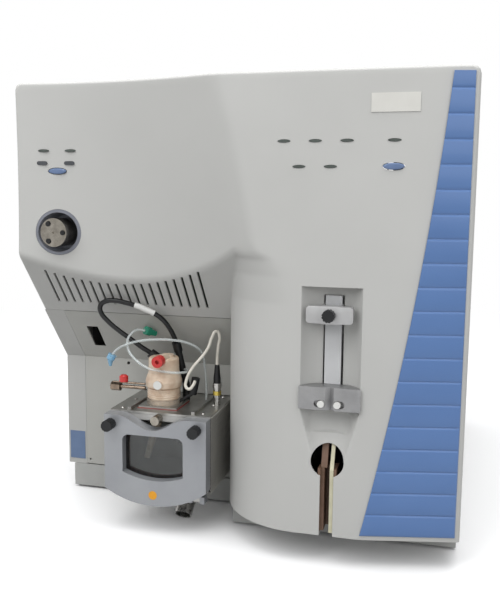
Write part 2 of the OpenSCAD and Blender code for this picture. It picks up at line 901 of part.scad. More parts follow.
// Turned PEEK body with cooling ribs, and the nozzle that reaches into the chamber.
probe_top = 243;
module probe_body() {
  placed() {
    r = probe_r;
    ribs = [for (k = [0 : 4]) each [
      [r - 1 + k * 0.35, ring_z + 3.2 * k], [r - 1 + k * 0.35, ring_z + 3.2 * k + 2],
      [r - 2.4 + k * 0.35, ring_z + 3.2 * k + 2], [r - 2.4 + k * 0.35, ring_z + 3.2 * k + 3.2]]];
    color(peek) {
      translate([probe_x, probe_y, 0]) rotate_extrude($fn = 72) polygon(concat(
        [[0, pad_z], [r - 3 - gap, pad_z], [r - 3 - gap, ring_z]], ribs,
        [[r + 2.5, ring_z + 18], [r + 3, ring_z + 26], [r + 1, ring_z + 34], [r - 1, ring_z + 38],
        [r - 1.5, probe_top - 2], [r - 3, probe_top], [0, probe_top]]));
      translate([probe_x + 4, probe_y + 6, probe_top - 1]) cylinder(r = 9, h = 4);
      rod_y(probe_x + 3, probe_top - 1, probe_y - probe_r + 0.8, probe_y, 7);
      bar([probe_x + 3, probe_y + 1, ring_z + 11], [probe_x - 24, probe_y - 8, 92], 9.5, 4);
      translate([probe_x + 1, probe_y - r - 5, 207]) rotate([-90, 0, 0]) cylinder(r = 6.5, h = 8);
    }
  }
}

// Red finger-tight fitting on the probe's shoulder.
cap_z = probe_top - 1;
module probe_cap() {
  placed() {
    color("#c22d2c") difference() {
      rod_y(probe_x + 3, cap_z, probe_y - probe_r - 12, probe_y - probe_r + 0.8, 8.2);
      rod_y(probe_x + 3, cap_z, probe_y - probe_r - 13, probe_y - probe_r - 6, 3);
    }
  }
}

arm_y = 80;
arm_z = 197;
module gas_arm() {
  placed() {
    color("#9c8a78") {
      rod_x(arm_y, arm_z, source_x - 80, probe_x - probe_r - 1.8, 2.6);
      rod_x(arm_y, arm_z + 6, source_x - 86, probe_x - probe_r - 2, 1.5);
      difference() {
        translate([source_x - 88, arm_y, arm_z]) rotate([0, 90, 0]) cylinder(r = 7, h = 14, $fn = 6);
        rod_x(arm_y, arm_z, source_x - 89, source_x - 84, 3);
      }
    }
  }
}

module arm_cap() {
  placed() {
    color("#b3282b") {
      translate([source_x - 69, arm_y, arm_z + 7.6]) cylinder(r = 6.5, h = 8);
      translate([source_x - 69, arm_y, arm_z + 15]) cylinder(r1 = 6.5, r2 = 4, h = 2.5);
    }
  }
}

// ---------- cables and tubes ----------

function unit(v) = v / norm(v);
function heading(p, i) = unit(p[min(i + 1, len(p) - 1)] - p[max(i - 1, 0)]);
function turned(n, t) = unit(n - (n * t) * t);
function normals(p, i, n, out) =
  i == len(p) ? out :
  let (m = turned(n, heading(p, i))) normals(p, i + 1, m, concat(out, [m]));

// Round tube of radius r along the points p, with k sides.
module tube_along(p, r, k = 8) {
  ns = normals(p, 0, [0.31, 0.87, 0.38], []);
  points = [for (i = [0 : len(p) - 1]) let (t = heading(p, i), n = ns[i], b = cross(t, n))
    for (j = [0 : k - 1]) p[i] + r * (cos(360 * j / k) * n + sin(360 * j / k) * b)];
  sides = [for (i = [0 : len(p) - 2], j = [0 : k - 1]) let (a = i * k + j,
    b = i * k + (j + 1) % k) each [[a, b + k, b], [a, a + k, b + k]]];
  ends = [[for (j = [0 : k - 1]) j], [for (j = [k - 1 : -1 : 0]) (len(p) - 1) * k + j]];
  polyhedron(points, concat(sides, ends));
}

cable_r = 3.6;
cable_path = [[-141, 104, 245], [-150, 99, 252], [-166, 91, 266], [-183, 84, 280],
  [-197, 78, 294], [-205, 74, 306], [-205, 72, 316], [-197, 71, 323], [-181, 71, 325],
  [-164, 73, 322], [-153, 75, 319], [-140, 79, 314], [-126, 84, 307], [-116, 90, 298],
  [-109, 97, 286], [-104, 104, 272], [-102, 109, 262]];
module black_cable() { placed() color("#1c1c1f") tube_along(cable_path, cable_r, 10); }

module cable_plugs() {
  placed() {
    n = len(cable_path) - 1;
    color("#2a2a2d") {
      bar(cable_path[0], cable_path[0] + [14, 3, -12], 7, 8.5);
      bar(cable_path[n], [-100, 113, 248], 6.5);
      bar([-100, 113, 248], [-91.5, 123.5, 196], 5.2);
      translate([-91.5, 123.5, plate_z]) cylinder(r = 5.6, h = 27);
    }
  }
}

tube_r = 1.8;
clear_path = [[-186, 70, 246], [-180, 71, 253], [-168, 72, 260], [-147, 74, 267],
  [-124, 77, 270], [-99, 82, 270], [-80, 90, 266], [-66, 100, 257], [-61, 109, 246],
  [-61, 118, 230], [-62, 126, 212], [-62, 130, 192], [-62, 130, plate_z]];
module clear_tube() { placed() color("#e6e8e8", 0.6) tube_along(clear_path, tube_r, 8); }

module blue_fitting() {
  placed() {
    p = clear_path[0];
    color("#9cc4dc") {
      bar(p, p + [-3, -1, -7], 6);
      bar(p + [-3, -1, -7], p + [-3, -1, -17], 4.5, 2);
    }
  }
}

loop_path = [[-148, 101, 278], [-157, 94, 280], [-163, 85, 275], [-166, 78, 265],
  [-162, 73, 253], [-152, 69, 243], [-140, 65, 236], [-128, 62.5, 231], [-114, 62.5, 228.5],
  [-100, 65, 226.5], [-88, 71, 225], [-81, 79, 224], [-79, 90, 223], [-82, 102, 222], [-90, 113, 221]];
module loop_tube() { placed() color("#e6e8e8", 0.6) tube_along(loop_path, tube_r, 8); }

module green_fitting() {
  placed() {
    color("#3f9c7d") {
      bar([-148, 104, 278], [-144, 111, 275], 6.5);
      bar([-144, 111, 275], [-138, 119, 271], 5, 4);
    }
  }
}

white_r = 2.2;
white_path = [[-39, 110, 222], [-39, 110, 240], [-37, 109, 260], [-35, 108, 274], [-39, 105, 282],
  [-44, 101, 274], [-48, 97, 260], [-56, 94, 247], [-64, 90, 237], [-72, 86, 225],
  [-77, 83, 212], [-77, 81, 203], [-72, 81, 200], [-67, 83, 205], [-66, 89, 210]];
module white_tube() { placed() color("#e3ded2") tube_along(white_path, white_r, 8); }

// Boot, collar and ring of the connector under the white tube.
module tube_connector() {
  placed() {
    translate([-39, 110, 0]) {
      color(dark) translate([0, 0, 205]) cylinder(r1 = 4.4, r2 = 3, h = 17);
      color(steel) {
        translate([0, 0, 198]) cylinder(r = 6.6, h = 7);
        translate([0, 0, 189]) cylinder(r = 5.4, h = 9);
        translate([0, 0, plate_z]) cylinder(r = 5, h = 189 - plate_z);
      }
      color("#c9b15a") translate([0, 0, 184]) difference() {
        cylinder(r = 6.2, h = 5);
        translate([0, 0, -1]) cylinder(r = 4.9, h = 7);
      }
    }
  }
}

module black_fitting() {
  placed() {
    color(dark) bar([-66, 94, 214], [-71, 93, 190], 6);
    color(steel) bar([-71, 93, 191], [-90, 90, 178.5], 3.2, 2);
  }
}

// Steel ball elbow that lets the spray drain out under the housing.
drain_wall = 2;
drain_z = 32;
drain_reach = 26;                   // from the ball's centre to the open end
module drain_path(r, ball_r, extra) {
  translate([drain_x, drain_y, drain_z]) {
    cylinder(r = r, h = house_z[0] + extra - drain_z);
    sphere(ball_r);
    rotate([135, 0, 0]) cylinder(r = r, h = drain_reach + extra);
  }
}
module drain_tube() {
  placed() {
    color(steel) difference() {
      drain_path(drain_r, drain_r + 2, 0);
      drain_path(drain_r - drain_wall, drain_r - 0.5, 1);
    }
  }
}

// ---------- inside the cabinet ----------

box_z = [58, 178];
leg_x = [source_x - 70, source_x + 70];
leg_y = [house_back + gap, 560];
arm_x1 = 235;
arm_y0 = 400;
box_wall = 8;
axis_z = cone_z;
pump_y = 290;
bend_r = 70;
bend_c = [source_x + bend_r, 430];
module manifold_plan(i) {
  translate([leg_x[0] + i, leg_y[0] + i]) square([leg_x[1] - leg_x[0] - 2 * i, leg_y[1] - leg_y[0] - 2 * i]);
  translate([leg_x[0] + i, arm_y0 + i]) square([arm_x1 - leg_x[0] - 2 * i, leg_y[1] - arm_y0 - 2 * i]);
}
module vacuum_manifold() {
  placed() {
    color("#a7aaad") difference() {
      union() {
        translate([0, 0, box_z[0]]) linear_extrude(box_z[1] - box_z[0]) manifold_plan(0);
        for (p = [[leg_x[0] + 16, leg_y[0] + 30], [leg_x[1] - 16, leg_y[0] + 30],
          [leg_x[0] + 16, leg_y[1] - 16], [arm_x1 - 16, leg_y[1] - 16]])
          translate([p[0], p[1], floor_z]) cylinder(r = 10, h = box_z[0] - floor_z + 1);
      }
      translate([0, 0, box_z[0] + box_wall]) linear_extrude(box_z[1] - box_z[0] - 2 * box_wall)
        manifold_plan(box_wall);
      rod_y(source_x, axis_z, leg_y[0] - 1, leg_y[0] + 20, 15);
      rod_x(pump_y, axis_z, leg_x[1] - 20, leg_x[1] + 1, rotor_r + 4);
    }
  }
}

pump_x = [leg_x[1] + gap, leg_x[1] + 170];
shaft_r = 6;
module turbo_pump() {
  placed() {
    color("#9b9ea1") difference() {
      union() {
        rod_x(pump_y, axis_z, pump_x[0], pump_x[1], rotor_r + 12);
        rod_x(pump_y, axis_z, pump_x[0], pump_x[0] + 10, rotor_r + 15);
        block([pump_x[0] + 30, pump_x[1] - 20], [pump_y - 35, pump_y + 35], [floor_z, axis_z - rotor_r]);
      }
      rod_x(pump_y, axis_z, pump_x[0] - 1, pump_x[0] + 100, rotor_r + 4);
      rod_x(pump_y, axis_z, pump_x[0] + 90, pump_x[1] - 10, shaft_r + run);
    }
  }
}

module turbo_rotor() {
  placed() {
    x0 = pump_x[0] + 14;
    color("#c4c7ca") {
      rod_x(pump_y, axis_z, x0, pump_x[1] - 14, shaft_r);
      for (k = [0 : 4]) {
        rod_x(pump_y, axis_z, x0 + 4 + k * 16, x0 + 10 + k * 16, rotor_r * 0.5);
        for (a = [0 : 30 : 330])
          translate([x0 + 7 + k * 16, pump_y, axis_z]) rotate([a, 0, 0])
            translate([0, 0, rotor_r * 0.7]) rotate([0, 0, k % 2 == 0 ? 35 : -35])
              cube([1.5, 8, rotor_r * 0.56], center = true);
      }
    }
  }
}

rod_pitch = 9;
module rod_collar() {
  difference() {
    square([40, 2 * (axis_z - box_z[0] - box_wall)], center = true);
    for (x = [-1, 1], z = [-1, 1]) translate([x * rod_pitch, z * rod_pitch]) circle(rod_r + run);
    circle(5);
  }
}
// Three rod sets in line: straight, bent through a quarter turn, straight.
module rod_sets() {
  placed() {
    color("#c9cbcc") {
      for (x = [-1, 1], z = [-1, 1]) {
        rod_y(source_x + x * rod_pitch, axis_z + z * rod_pitch, leg_y[0] + 30, bend_c[1] - 12, rod_r);
        translate([bend_c[0], bend_c[1], axis_z + z * rod_pitch])
          rotate([0, 0, 90]) rotate_extrude(angle = 90, $fn = 96)
            translate([bend_r + x * rod_pitch, 0]) circle(rod_r, $fn = 24);
        rod_x(bend_c[1] + bend_r - x * rod_pitch, axis_z + z * rod_pitch, bend_c[0] + 12, arm_x1 - 60, rod_r);
      }
    }
    color("#e4ddd0") {
      for (y = [leg_y[0] + 45, bend_c[1] - 30])
        translate([source_x, 0, axis_z]) slab_y(y, y + 8) rod_collar();
      for (x = [bend_c[0] + 25, arm_x1 - 80])
        translate([0, bend_c[1] + bend_r, axis_z]) slab_x(x, x + 8) rod_collar();
      translate([source_x, 0, axis_z]) slab_y(bend_c[1] + 0.5, bend_c[1] + 6) rod_collar();
      translate([0, bend_c[1] + bend_r, axis_z]) slab_x(bend_c[0] - 8, bend_c[0] - 2) rod_collar();
    }
  }
}

// Conversion dynode and multiplier horn at the end of the last rod set.
module detector() {
  placed() {
    y = bend_c[1] + bend_r;
    color("#b9bcc0") {
      block([arm_x1 - 50, arm_x1 - 14], [y - 20, y + 20], [box_z[0] + box_wall, box_z[0] + box_wall + 6]);
      for (k = [0 : 5])
        block([arm_x1 - 48 + 6 * k, arm_x1 - 46 + 6 * k], [y - 16, y + 16],
          [box_z[0] + box_wall + 5, axis_z + 24 - 3 * k]);
    }
  }
}

board_x = [-250, -190, -130, -70];
module circuit_boards() {
  placed() {
    z = shelf_z + 2;
    for (k = [0 : 3]) {
      color("#2f6b46") block([board_x[k], board_x[k] + 1.6], [260, back_y - 110], [z, z + 300 - 20 * k]);
      color("#3b3b40") for (j = [0 : 3], i = [0 : 2])
        block([board_x[k] + 1.5, board_x[k] + 9], [290 + 80 * j, 330 + 80 * j] + [1, 1] * 10 * k,
          [z + 40, z + 80] + [1, 1] * 80 * i);
    }
  }
}

fan_t = 25;
fan_y = back_y - 2 - gap - fan_t;
hub_r = 22;
module cooling_fan() {
  placed() {
    color("#2b2b2e") difference() {
      union() {
        slab_y(fan_y, fan_y + fan_t) difference() {
          translate(fan_pos) square(2 * fan_half, center = true);
          translate(fan_pos) circle(fan_half - 2.5, $fn = 96);
          for (x = [-1, 1], z = [-1, 1])
            translate(fan_pos + [x, z] * (fan_half - 7)) circle(2.2);
        }
        slab_y(fan_y, fan_y + 3) translate(fan_pos) {
          circle(hub_r);
          for (a = [45 : 90 : 315]) rotate(a) translate([0, -2]) square([fan_half, 4]);
        }
      }
      rod_y(fan_pos[0], fan_pos[1], fan_y - 1, fan_y + 10, 3 + run);
    }
  }
}

module fan_rotor() {
  placed() {
    color("#1f1f22") {
      rod_y(fan_pos[0], fan_pos[1], fan_y + 0.2, fan_y + 12, 3);
      rod_y(fan_pos[0], fan_pos[1], fan_y + 4, fan_y + 22, hub_r);
      for (a = [0 : 360 / 7 : 359])
        translate([fan_pos[0], fan_y + 13, fan_pos[1]]) rotate([0, a, 0])
          translate([0, 0, (hub_r + fan_half - 8.5) / 2]) rotate([0, 0, 38])
            cube([24, 1.8, fan_half - 8.5 - hub_r + 4], center = true);
    }
  }
}

// ---------- rear fittings ----------

switch_dx = 38;                     // from the inlet's centre to the switch's
module mains_inlet() {
  placed() {
    y = [back_y - 26, back_y + 3];
    color("#222225") translate([inlet_pos[0], 0, inlet_pos[1]]) {
      difference() {
        union() {
          slab_y(y[0], back_y + 0.5) translate([-16.7, -17]) square([70.4, 34]);
          slab_y(back_y, y[1]) soft_rect(-20, 57, -20, 20, 3);
        }
        slab_y(y[0] + 6, y[1] + 1) square([24, 17], center = true);
        slab_y(y[0] + 3, y[1] + 1) translate([switch_dx, 0])
          square([21, 2 * rocker_half + 1.2], center = true);
        rod_x(back_y - 2, 0, switch_dx - 13, switch_dx + 13, rocker_r + run);
      }
      for (x = [-7, 0, 7]) slab_y(y[0] + 5, back_y - 2) translate([x, x == 0 ? 4 : -2])
        square([2, 4], center = true);
    }
  }
}

rocker_r = 2;
rocker_half = 13.5;
rocker_tilt = 7;
module power_rocker() {
  placed() {
    pivot = [inlet_pos[0] + switch_dx, back_y - 2, inlet_pos[1]];
    color("#1d1d20") translate(pivot) rotate([rocker_tilt, 0, 0]) {
      intersection() {
        slab_x(-10, 10)
          polygon([[-10, -14], [7, -14], [5.4, 0], [7, 14], [-10, 14]]);
        rod_x(0, 0, -11, 11, rocker_half);
      }
      rod_x(0, 0, -12.6, 12.6, rocker_r);
    }
  }
}

// Hose spigots of the fore-vacuum line and two gas bulkheads.
module rear_ports() {
  placed() {
    color(steel) {
      for (p = hose_pos) difference() {
        union() {
          rod_y(p[0], p[1], back_y - 40, back_y + 1, hose_r - 0.6);
          rod_y(p[0], p[1], back_y + 0.8, back_y + 13, hose_r);
          rod_y(p[0], p[1], back_y - 8, back_y - 2.2, hose_r + 8);
        }
        rod_y(p[0], p[1], back_y - 41, back_y + 14, hose_r - 3);
      }
      for (p = gas_pos) difference() {
        union() {
          rod_y(p[0], p[1], back_y - 20, back_y + 13, 6.5);
          translate([p[0], back_y + 3, p[1]]) rotate([90, 0, 0]) cylinder(r = 10, h = 2.8, $fn = 6);
        }
        rod_y(p[0], p[1], back_y - 21, back_y + 14, 3.2);
      }
    }
  }
}

front_cover();
accent_panel();
status_lights();
access_panel();
lower_panel();
left_side_cover();
right_side_cover();
top_cover();
rear_panel();
chassis();
feet();
port_well();
port_flange();
syringe_rail();
lead_screw();
syringe_pusher();
pusher_knob();
syringe_clamp();
clamp_button_left();
clamp_button_right();
syringe_motor();
tubing_guide();
start_button();
mode_button();
source_housing();
source_grille();
source_top();
source_door();
door_window();
door_gasket();
door_knob_left();
door_knob_right();
sweep_cone();
probe_adjuster();
probe_ring();
probe_body();
probe_cap();
gas_arm();
arm_cap();
black_cable();
cable_plugs();
clear_tube();
blue_fitting();
loop_tube();
green_fitting();
white_tube();
tube_connector();
black_fitting();
drain_tube();
vacuum_manifold();
turbo_pump();
turbo_rotor();
rod_sets();
detector();
circuit_boards();
cooling_fan();
fan_rotor();
power_rocker();
mains_inlet();
rear_ports();
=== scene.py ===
"""Finish, cords and fine detail of the bench-top mass spectrometer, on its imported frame."""
from math import atan2, cos, degrees, hypot, pi, radians, sin, sqrt

import bmesh
import bpy
import numpy as np
from mathutils import Matrix, Vector


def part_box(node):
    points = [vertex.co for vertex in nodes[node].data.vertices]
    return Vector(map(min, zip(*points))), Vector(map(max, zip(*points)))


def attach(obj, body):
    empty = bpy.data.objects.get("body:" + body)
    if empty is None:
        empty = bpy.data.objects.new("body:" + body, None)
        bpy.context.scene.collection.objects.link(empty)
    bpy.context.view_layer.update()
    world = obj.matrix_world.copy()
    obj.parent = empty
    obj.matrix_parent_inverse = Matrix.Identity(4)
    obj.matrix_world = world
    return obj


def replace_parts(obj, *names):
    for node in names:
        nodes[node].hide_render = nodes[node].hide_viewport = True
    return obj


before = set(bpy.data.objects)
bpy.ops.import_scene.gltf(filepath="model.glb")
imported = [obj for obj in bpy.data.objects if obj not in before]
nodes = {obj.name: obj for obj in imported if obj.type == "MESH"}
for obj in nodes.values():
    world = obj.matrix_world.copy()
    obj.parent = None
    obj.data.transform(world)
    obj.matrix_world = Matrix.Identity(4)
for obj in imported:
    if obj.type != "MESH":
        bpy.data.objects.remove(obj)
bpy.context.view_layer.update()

MM = 0.001
MID_Y = 363.5            # from the front panel back to the datum, mm


def at(x, y, z):
    """A point given in millimetres from the front panel's centreline at the bench."""
    return Vector((x * MM, (y - MID_Y) * MM, z * MM))


# ---------------------------------------------------------------- camera

def make_camera():
    """The camera at the picture's viewing angle, from its right, up and backward axes."""
    data = bpy.data.cameras.new("camera")
    data.lens = 45.97
    data.sensor_width = 36.0
    data.clip_start = 0.05
    camera = bpy.data.objects.new("camera", data)
    right = Vector((0.96697, 0.25471, 0.00948))
    up = Vector((-0.04197, 0.12243, 0.99159))
    back = right.cross(up)
    turn = Matrix((right, up, back)).transposed().to_4x4()
    camera.matrix_world = Matrix.Translation(at(284.48, -938.71, 470.26)) @ turn
    bpy.context.scene.collection.objects.link(camera)
    bpy.context.scene.camera = camera


make_camera()
scene = bpy.context.scene
scene.view_settings.view_transform = "Standard"


# ---------------------------------------------------------------- material tools

PER_METRE = 1000         # a noise's scale is this over the size of its grain in mm
FINE_SHARE = 0.25        # how much of the fine grain shows in the colour
HAZE_MM = 12             # patches of uneven gloss on clear plastic
HAZE_SPAN = 0.12         # and how far their roughness goes up


def srgb(code):
    """Linear RGBA of an sRGB hex colour."""
    parts = [int(code[i:i + 2], 16) / 255 for i in (1, 3, 5)]
    linear = [c / 12.92 if c <= 0.04045 else ((c + 0.055) / 1.055) ** 2.4 for c in parts]
    return (*linear, 1.0)


def add(tree, kind, links=None, **settings):
    """Adds a node; links fills its inputs with values or with other nodes' outputs."""
    node = tree.nodes.new(kind)
    for name, value in settings.items():
        setattr(node, name, value)
    for name, value in (links or {}).items():
        if isinstance(value, bpy.types.NodeSocket):
            tree.links.new(value, node.inputs[name])
        else:
            node.inputs[name].default_value = value
    return node


def new_material(name):
    material = bpy.data.materials.new(name)
    material.use_nodes = True
    tree = material.node_tree
    tree.nodes.clear()
    shader = add(tree, "ShaderNodeBsdfPrincipled")
    out = add(tree, "ShaderNodeOutputMaterial", {"Surface": shader.outputs["BSDF"]})
    place = add(tree, "ShaderNodeTexCoord").outputs["Object"]
    return material, tree, shader, place


def two_tone(tree, factor, dark, light, end):
    """A ramp from the dark colour at 0.35 to the light one at end."""
    ramp = add(tree, "ShaderNodeValToRGB", {"Fac": factor})
    for stop, position, code in zip(ramp.color_ramp.elements, (0.35, end), (dark, light)):
        stop.position = position
        stop.color = srgb(code)
    return ramp


def grained(name, light, dark, rough=(0.4, 0.5), grain_mm=0.8, bump=0.02, patch_mm=90.0,
            metallic=0.0, ior=1.5, stretch=(1, 1, 1), coat=0.0):
    """A surface with broad patches of tone, a fine grain and uneven gloss; sizes in mm."""
    material, tree, shader, place = new_material(name)
    scaled = add(tree, "ShaderNodeMapping", {"Vector": place, "Scale": stretch}).outputs["Vector"]
    broad = add(tree, "ShaderNodeTexNoise",
                {"Vector": place, "Scale": PER_METRE / patch_mm, "Detail": 3.0, "Roughness": 0.55})
    fine = add(tree, "ShaderNodeTexNoise",
               {"Vector": scaled, "Scale": PER_METRE / grain_mm, "Detail": 2.0, "Roughness": 0.5})
    both = add(tree, "ShaderNodeMath", {0: fine.outputs["Fac"], 1: FINE_SHARE},
               operation="MULTIPLY")
    tone = add(tree, "ShaderNodeMath", {0: broad.outputs["Fac"], 1: both.outputs[0]},
               operation="ADD")
    ramp = two_tone(tree, tone.outputs[0], dark, light, 0.85)
    gloss = add(tree, "ShaderNodeMapRange",
                {"Value": broad.outputs["Fac"], "To Min": rough[0], "To Max": rough[1]})
    relief = add(tree, "ShaderNodeBump",
                 {"Height": fine.outputs["Fac"], "Strength": bump, "Distance": grain_mm * MM})
    tree.links.new(ramp.outputs["Color"], shader.inputs["Base Color"])
    tree.links.new(gloss.outputs["Result"], shader.inputs["Roughness"])
    tree.links.new(relief.outputs["Normal"], shader.inputs["Normal"])
    shader.inputs["Metallic"].default_value = metallic
    shader.inputs["IOR"].default_value = ior
    shader.inputs["Coat Weight"].default_value = coat
    return material


def clear(name, tint, rough, alpha=None, transmission=0.9, ior=1.45):
    """A clear or milky moulded plastic, or glass."""
    material, tree, shader, place = new_material(name)
    haze = add(tree, "ShaderNodeTexNoise",
               {"Vector": place, "Scale": PER_METRE / HAZE_MM, "Detail": 2.0})
    gloss = add(tree, "ShaderNodeMapRange",
                {"Value": haze.outputs["Fac"], "To Min": rough, "To Max": rough + HAZE_SPAN})
    tree.links.new(gloss.outputs["Result"], shader.inputs["Roughness"])
    shader.inputs["Base Color"].default_value = srgb(tint)
    shader.inputs["Transmission Weight"].default_value = transmission
    shader.inputs["IOR"].default_value = ior
    if alpha is not None:
        shader.inputs["Alpha"].default_value = alpha
    return material


# ---------------------------------------------------------------- materials
# name, light and dark tone, span of roughness, grain and its bump, patch size, metallic

# Moulded ABS with a fine spark-eroded texture: matt, with a faint sheen and a slow change of tone.
cover_abs = grained("textured_abs", "#bcbcb9", "#b6b6b3", (0.50, 0.58), 0.9, 0.035, 180)
# Powder-coated sheet steel: orange-peel grain about a millimetre across.
coated_steel = grained("powder_coated_steel", "#b8b8b5", "#b1b1ae", (0.42, 0.52), 1.2, 0.06, 150)
panel_coat = grained("panel_powder_coat", "#b4b4af", "#acaca7", (0.40, 0.5), 1.2, 0.05, 120)
rear_coat = grained("grey_powder_coat", "#b2b4b5", "#aaacad", (0.42, 0.52), 1.2, 0.06, 150)
# Painted base tray: dull, mottled grey.
base_steel = grained("painted_base_steel", "#b2b3b0", "#a8a9a6", (0.38, 0.5), 1.4, 0.05, 60)
# Blue polycarbonate strip: satin, with a thin clear coat.
blue_strip = grained("blue_polycarbonate", "#5377ac", "#4a6da2", (0.30, 0.4), 1.0, 0.02, 160,
                     coat=0.1)
rail_enamel = grained("pale_rail_enamel", "#c6c7c8", "#bcbdbe", (0.35, 0.45), 0.9, 0.02, 40)
lamp_lens = grained("smoked_lens_acrylic", "#4d544f", "#3d433f", (0.15, 0.22), 1.5, 0.01, 8)
foot_rubber = grained("moulded_rubber", "#2c2c2d", "#232324", (0.7, 0.85), 0.8, 0.1, 20)
well_abs = grained("dark_recess_abs", "#80838c", "#6b6e77", (0.35, 0.5), 1.0, 0.03, 30)
# Nickel-plated brass: warm grey metal, soft reflections broken by handling.
nickel = grained("plated_nickel", "#9a958c", "#6f6a62", (0.16, 0.3), 1.6, 0.03, 12, 1.0)
white_acetal = grained("white_acetal", "#e0e0dd", "#d4d4d0", (0.38, 0.48), 0.8, 0.02, 40)
# Turned stainless steel: dull grey, broken up by fine grain.
turned_steel = grained("turned_stainless", "#b6b5b2", "#95938f", (0.2, 0.34), 1.2, 0.03, 10, 1.0)
blasted_alu = grained("bead_blasted_aluminium", "#b5b4b1", "#9d9c99", (0.42, 0.58),
                      0.7, 0.12, 25, 0.9)
clamp_alu = grained("clear_anodised_aluminium", "#a8a8a8", "#989898", (0.36, 0.48),
                    0.8, 0.06, 30, 0.5)
grey_alu = grained("grey_anodised_aluminium", "#919191", "#7f7f80", (0.34, 0.46),
                   0.8, 0.06, 30, 0.6)
black_abs = grained("black_glass_filled_nylon", "#141517", "#0b0c0d", (0.38, 0.52), 0.8, 0.08, 12,
                    ior=1.38)
brown_guide = grained("brown_phenolic", "#6f5546", "#57412f", (0.5, 0.65), 1.0, 0.05, 14)
blue_key = grained("blue_silicone_key", "#64799c", "#586c90", (0.3, 0.4), 0.7, 0.02, 15)
# Brushed sheet: the grain is drawn out along Y.
bright_sheet = grained("brushed_stainless_sheet", "#b0afab", "#8a8985", (0.26, 0.42), 1.5, 0.05,
                       18, 0.9, stretch=(1, 0.05, 1))
dark_mesh = grained("blackened_steel_sheet", "#3c3c3b", "#2b2b2a", (0.4, 0.55), 1.0, 0.05, 18, 0.7)
wire_steel = grained("bright_steel_wire", "#b3b1aa", "#9a9892", (0.3, 0.45), 1.0, 0.02, 10, 0.4)
amber_film = grained("amber_vinyl_film", "#e6a020", "#d99516", (0.3, 0.4), 0.8, 0.01, 10)
badge_film = grained("pale_vinyl_film", "#d2d1cb", "#cac9c3", (0.3, 0.4), 0.8, 0.01, 30)
tab_film = grained("charcoal_vinyl_film", "#3f4246", "#36393d", (0.35, 0.45), 0.8, 0.01, 20)
brass_band = grained("yellow_passivated_brass", "#c9b45c", "#a8923f", (0.25, 0.4),
                     1.0, 0.02, 8, 0.8)
slate_film = grained("slate_blue_vinyl_film", "#64799a", "#5a6f90", (0.35, 0.45), 0.8, 0.01, 20)
cream_strip = grained("cream_nylon", "#c9c5ab", "#b6b196", (0.4, 0.5), 0.8, 0.03, 20)
red_seal = grained("red_silicone_seal", "#8c3a33", "#742c27", (0.5, 0.6), 0.8, 0.03, 10)
silver_paint = grained("silver_grey_enamel", "#96989b", "#898b8f", (0.3, 0.42), 0.6, 0.03, 60, 0.35)
brown_seal = grained("brown_fluoroelastomer", "#7c5a4a", "#5d4036", (0.55, 0.7), 0.8, 0.06, 10)
red_peek = grained("red_moulded_nylon", "#d03735", "#ab2020", (0.22, 0.34), 0.8, 0.04, 10)
bronzed = grained("heat_tinted_stainless", "#8f7f70", "#63564c", (0.2, 0.36), 1.4, 0.04, 9, 1.0)
cable_jacket = grained("black_pvc_jacket", "#101112", "#08090a", (0.26, 0.38), 1.2, 0.04, 15,
                       ior=1.38)
white_sleeve = grained("white_silicone_tube", "#dedad0", "#cdc8bc", (0.35, 0.5), 1.2, 0.03, 14)
board = grained("solder_resist_laminate", "#356b4a", "#2a583b", (0.3, 0.45), 1.0, 0.05, 12)
glass = clear("polished_borosilicate_glass", "#b9bfbe", 0.02, transmission=1.0, ior=1.47)
clear_tube_pvc = clear("clear_fluoropolymer_tube", "#dfe6e6", 0.12, alpha=0.55, transmission=0.35)
clear_ring = clear("clear_polycarbonate", "#d9cfc0", 0.1, alpha=0.5, transmission=0.5)
blue_luer = clear("blue_polypropylene", "#8fc1df", 0.2, transmission=0.35)
green_luer = clear("green_polypropylene", "#2f9a7c", 0.2, transmission=0.3)


LATHE_PITCH = 0.0016     # rings across the turned probe body


def turned_peek():
    """Turned PEEK: a tan plastic with fine lathe rings across its axis."""
    material, tree, shader, place = new_material("turned_peek")
    split = add(tree, "ShaderNodeSeparateXYZ", {"Vector": place})
    rings = add(tree, "ShaderNodeMath", {0: split.outputs["Z"], 1: 2 * pi / LATHE_PITCH},
                operation="MULTIPLY")
    wave = add(tree, "ShaderNodeMath", {0: rings.outputs[0]}, operation="SINE")
    cloud = add(tree, "ShaderNodeTexNoise", {"Vector": place, "Scale": 70.0, "Detail": 3.0})
    ramp = two_tone(tree, cloud.outputs["Fac"], "#c4ab93", "#dfceba", 0.7)
    relief = add(tree, "ShaderNodeBump",
                 {"Height": wave.outputs[0], "Strength": 0.25, "Distance": 0.3 * MM})
    tree.links.new(ramp.outputs["Color"], shader.inputs["Base Color"])
    tree.links.new(relief.outputs["Normal"], shader.inputs["Normal"])
    shader.inputs["Roughness"].default_value = 0.36
    shader.inputs["Subsurface Weight"].default_value = 0.08
    shader.inputs["Subsurface Radius"].default_value = (0.004, 0.003, 0.002)
    return material


peek = turned_peek()

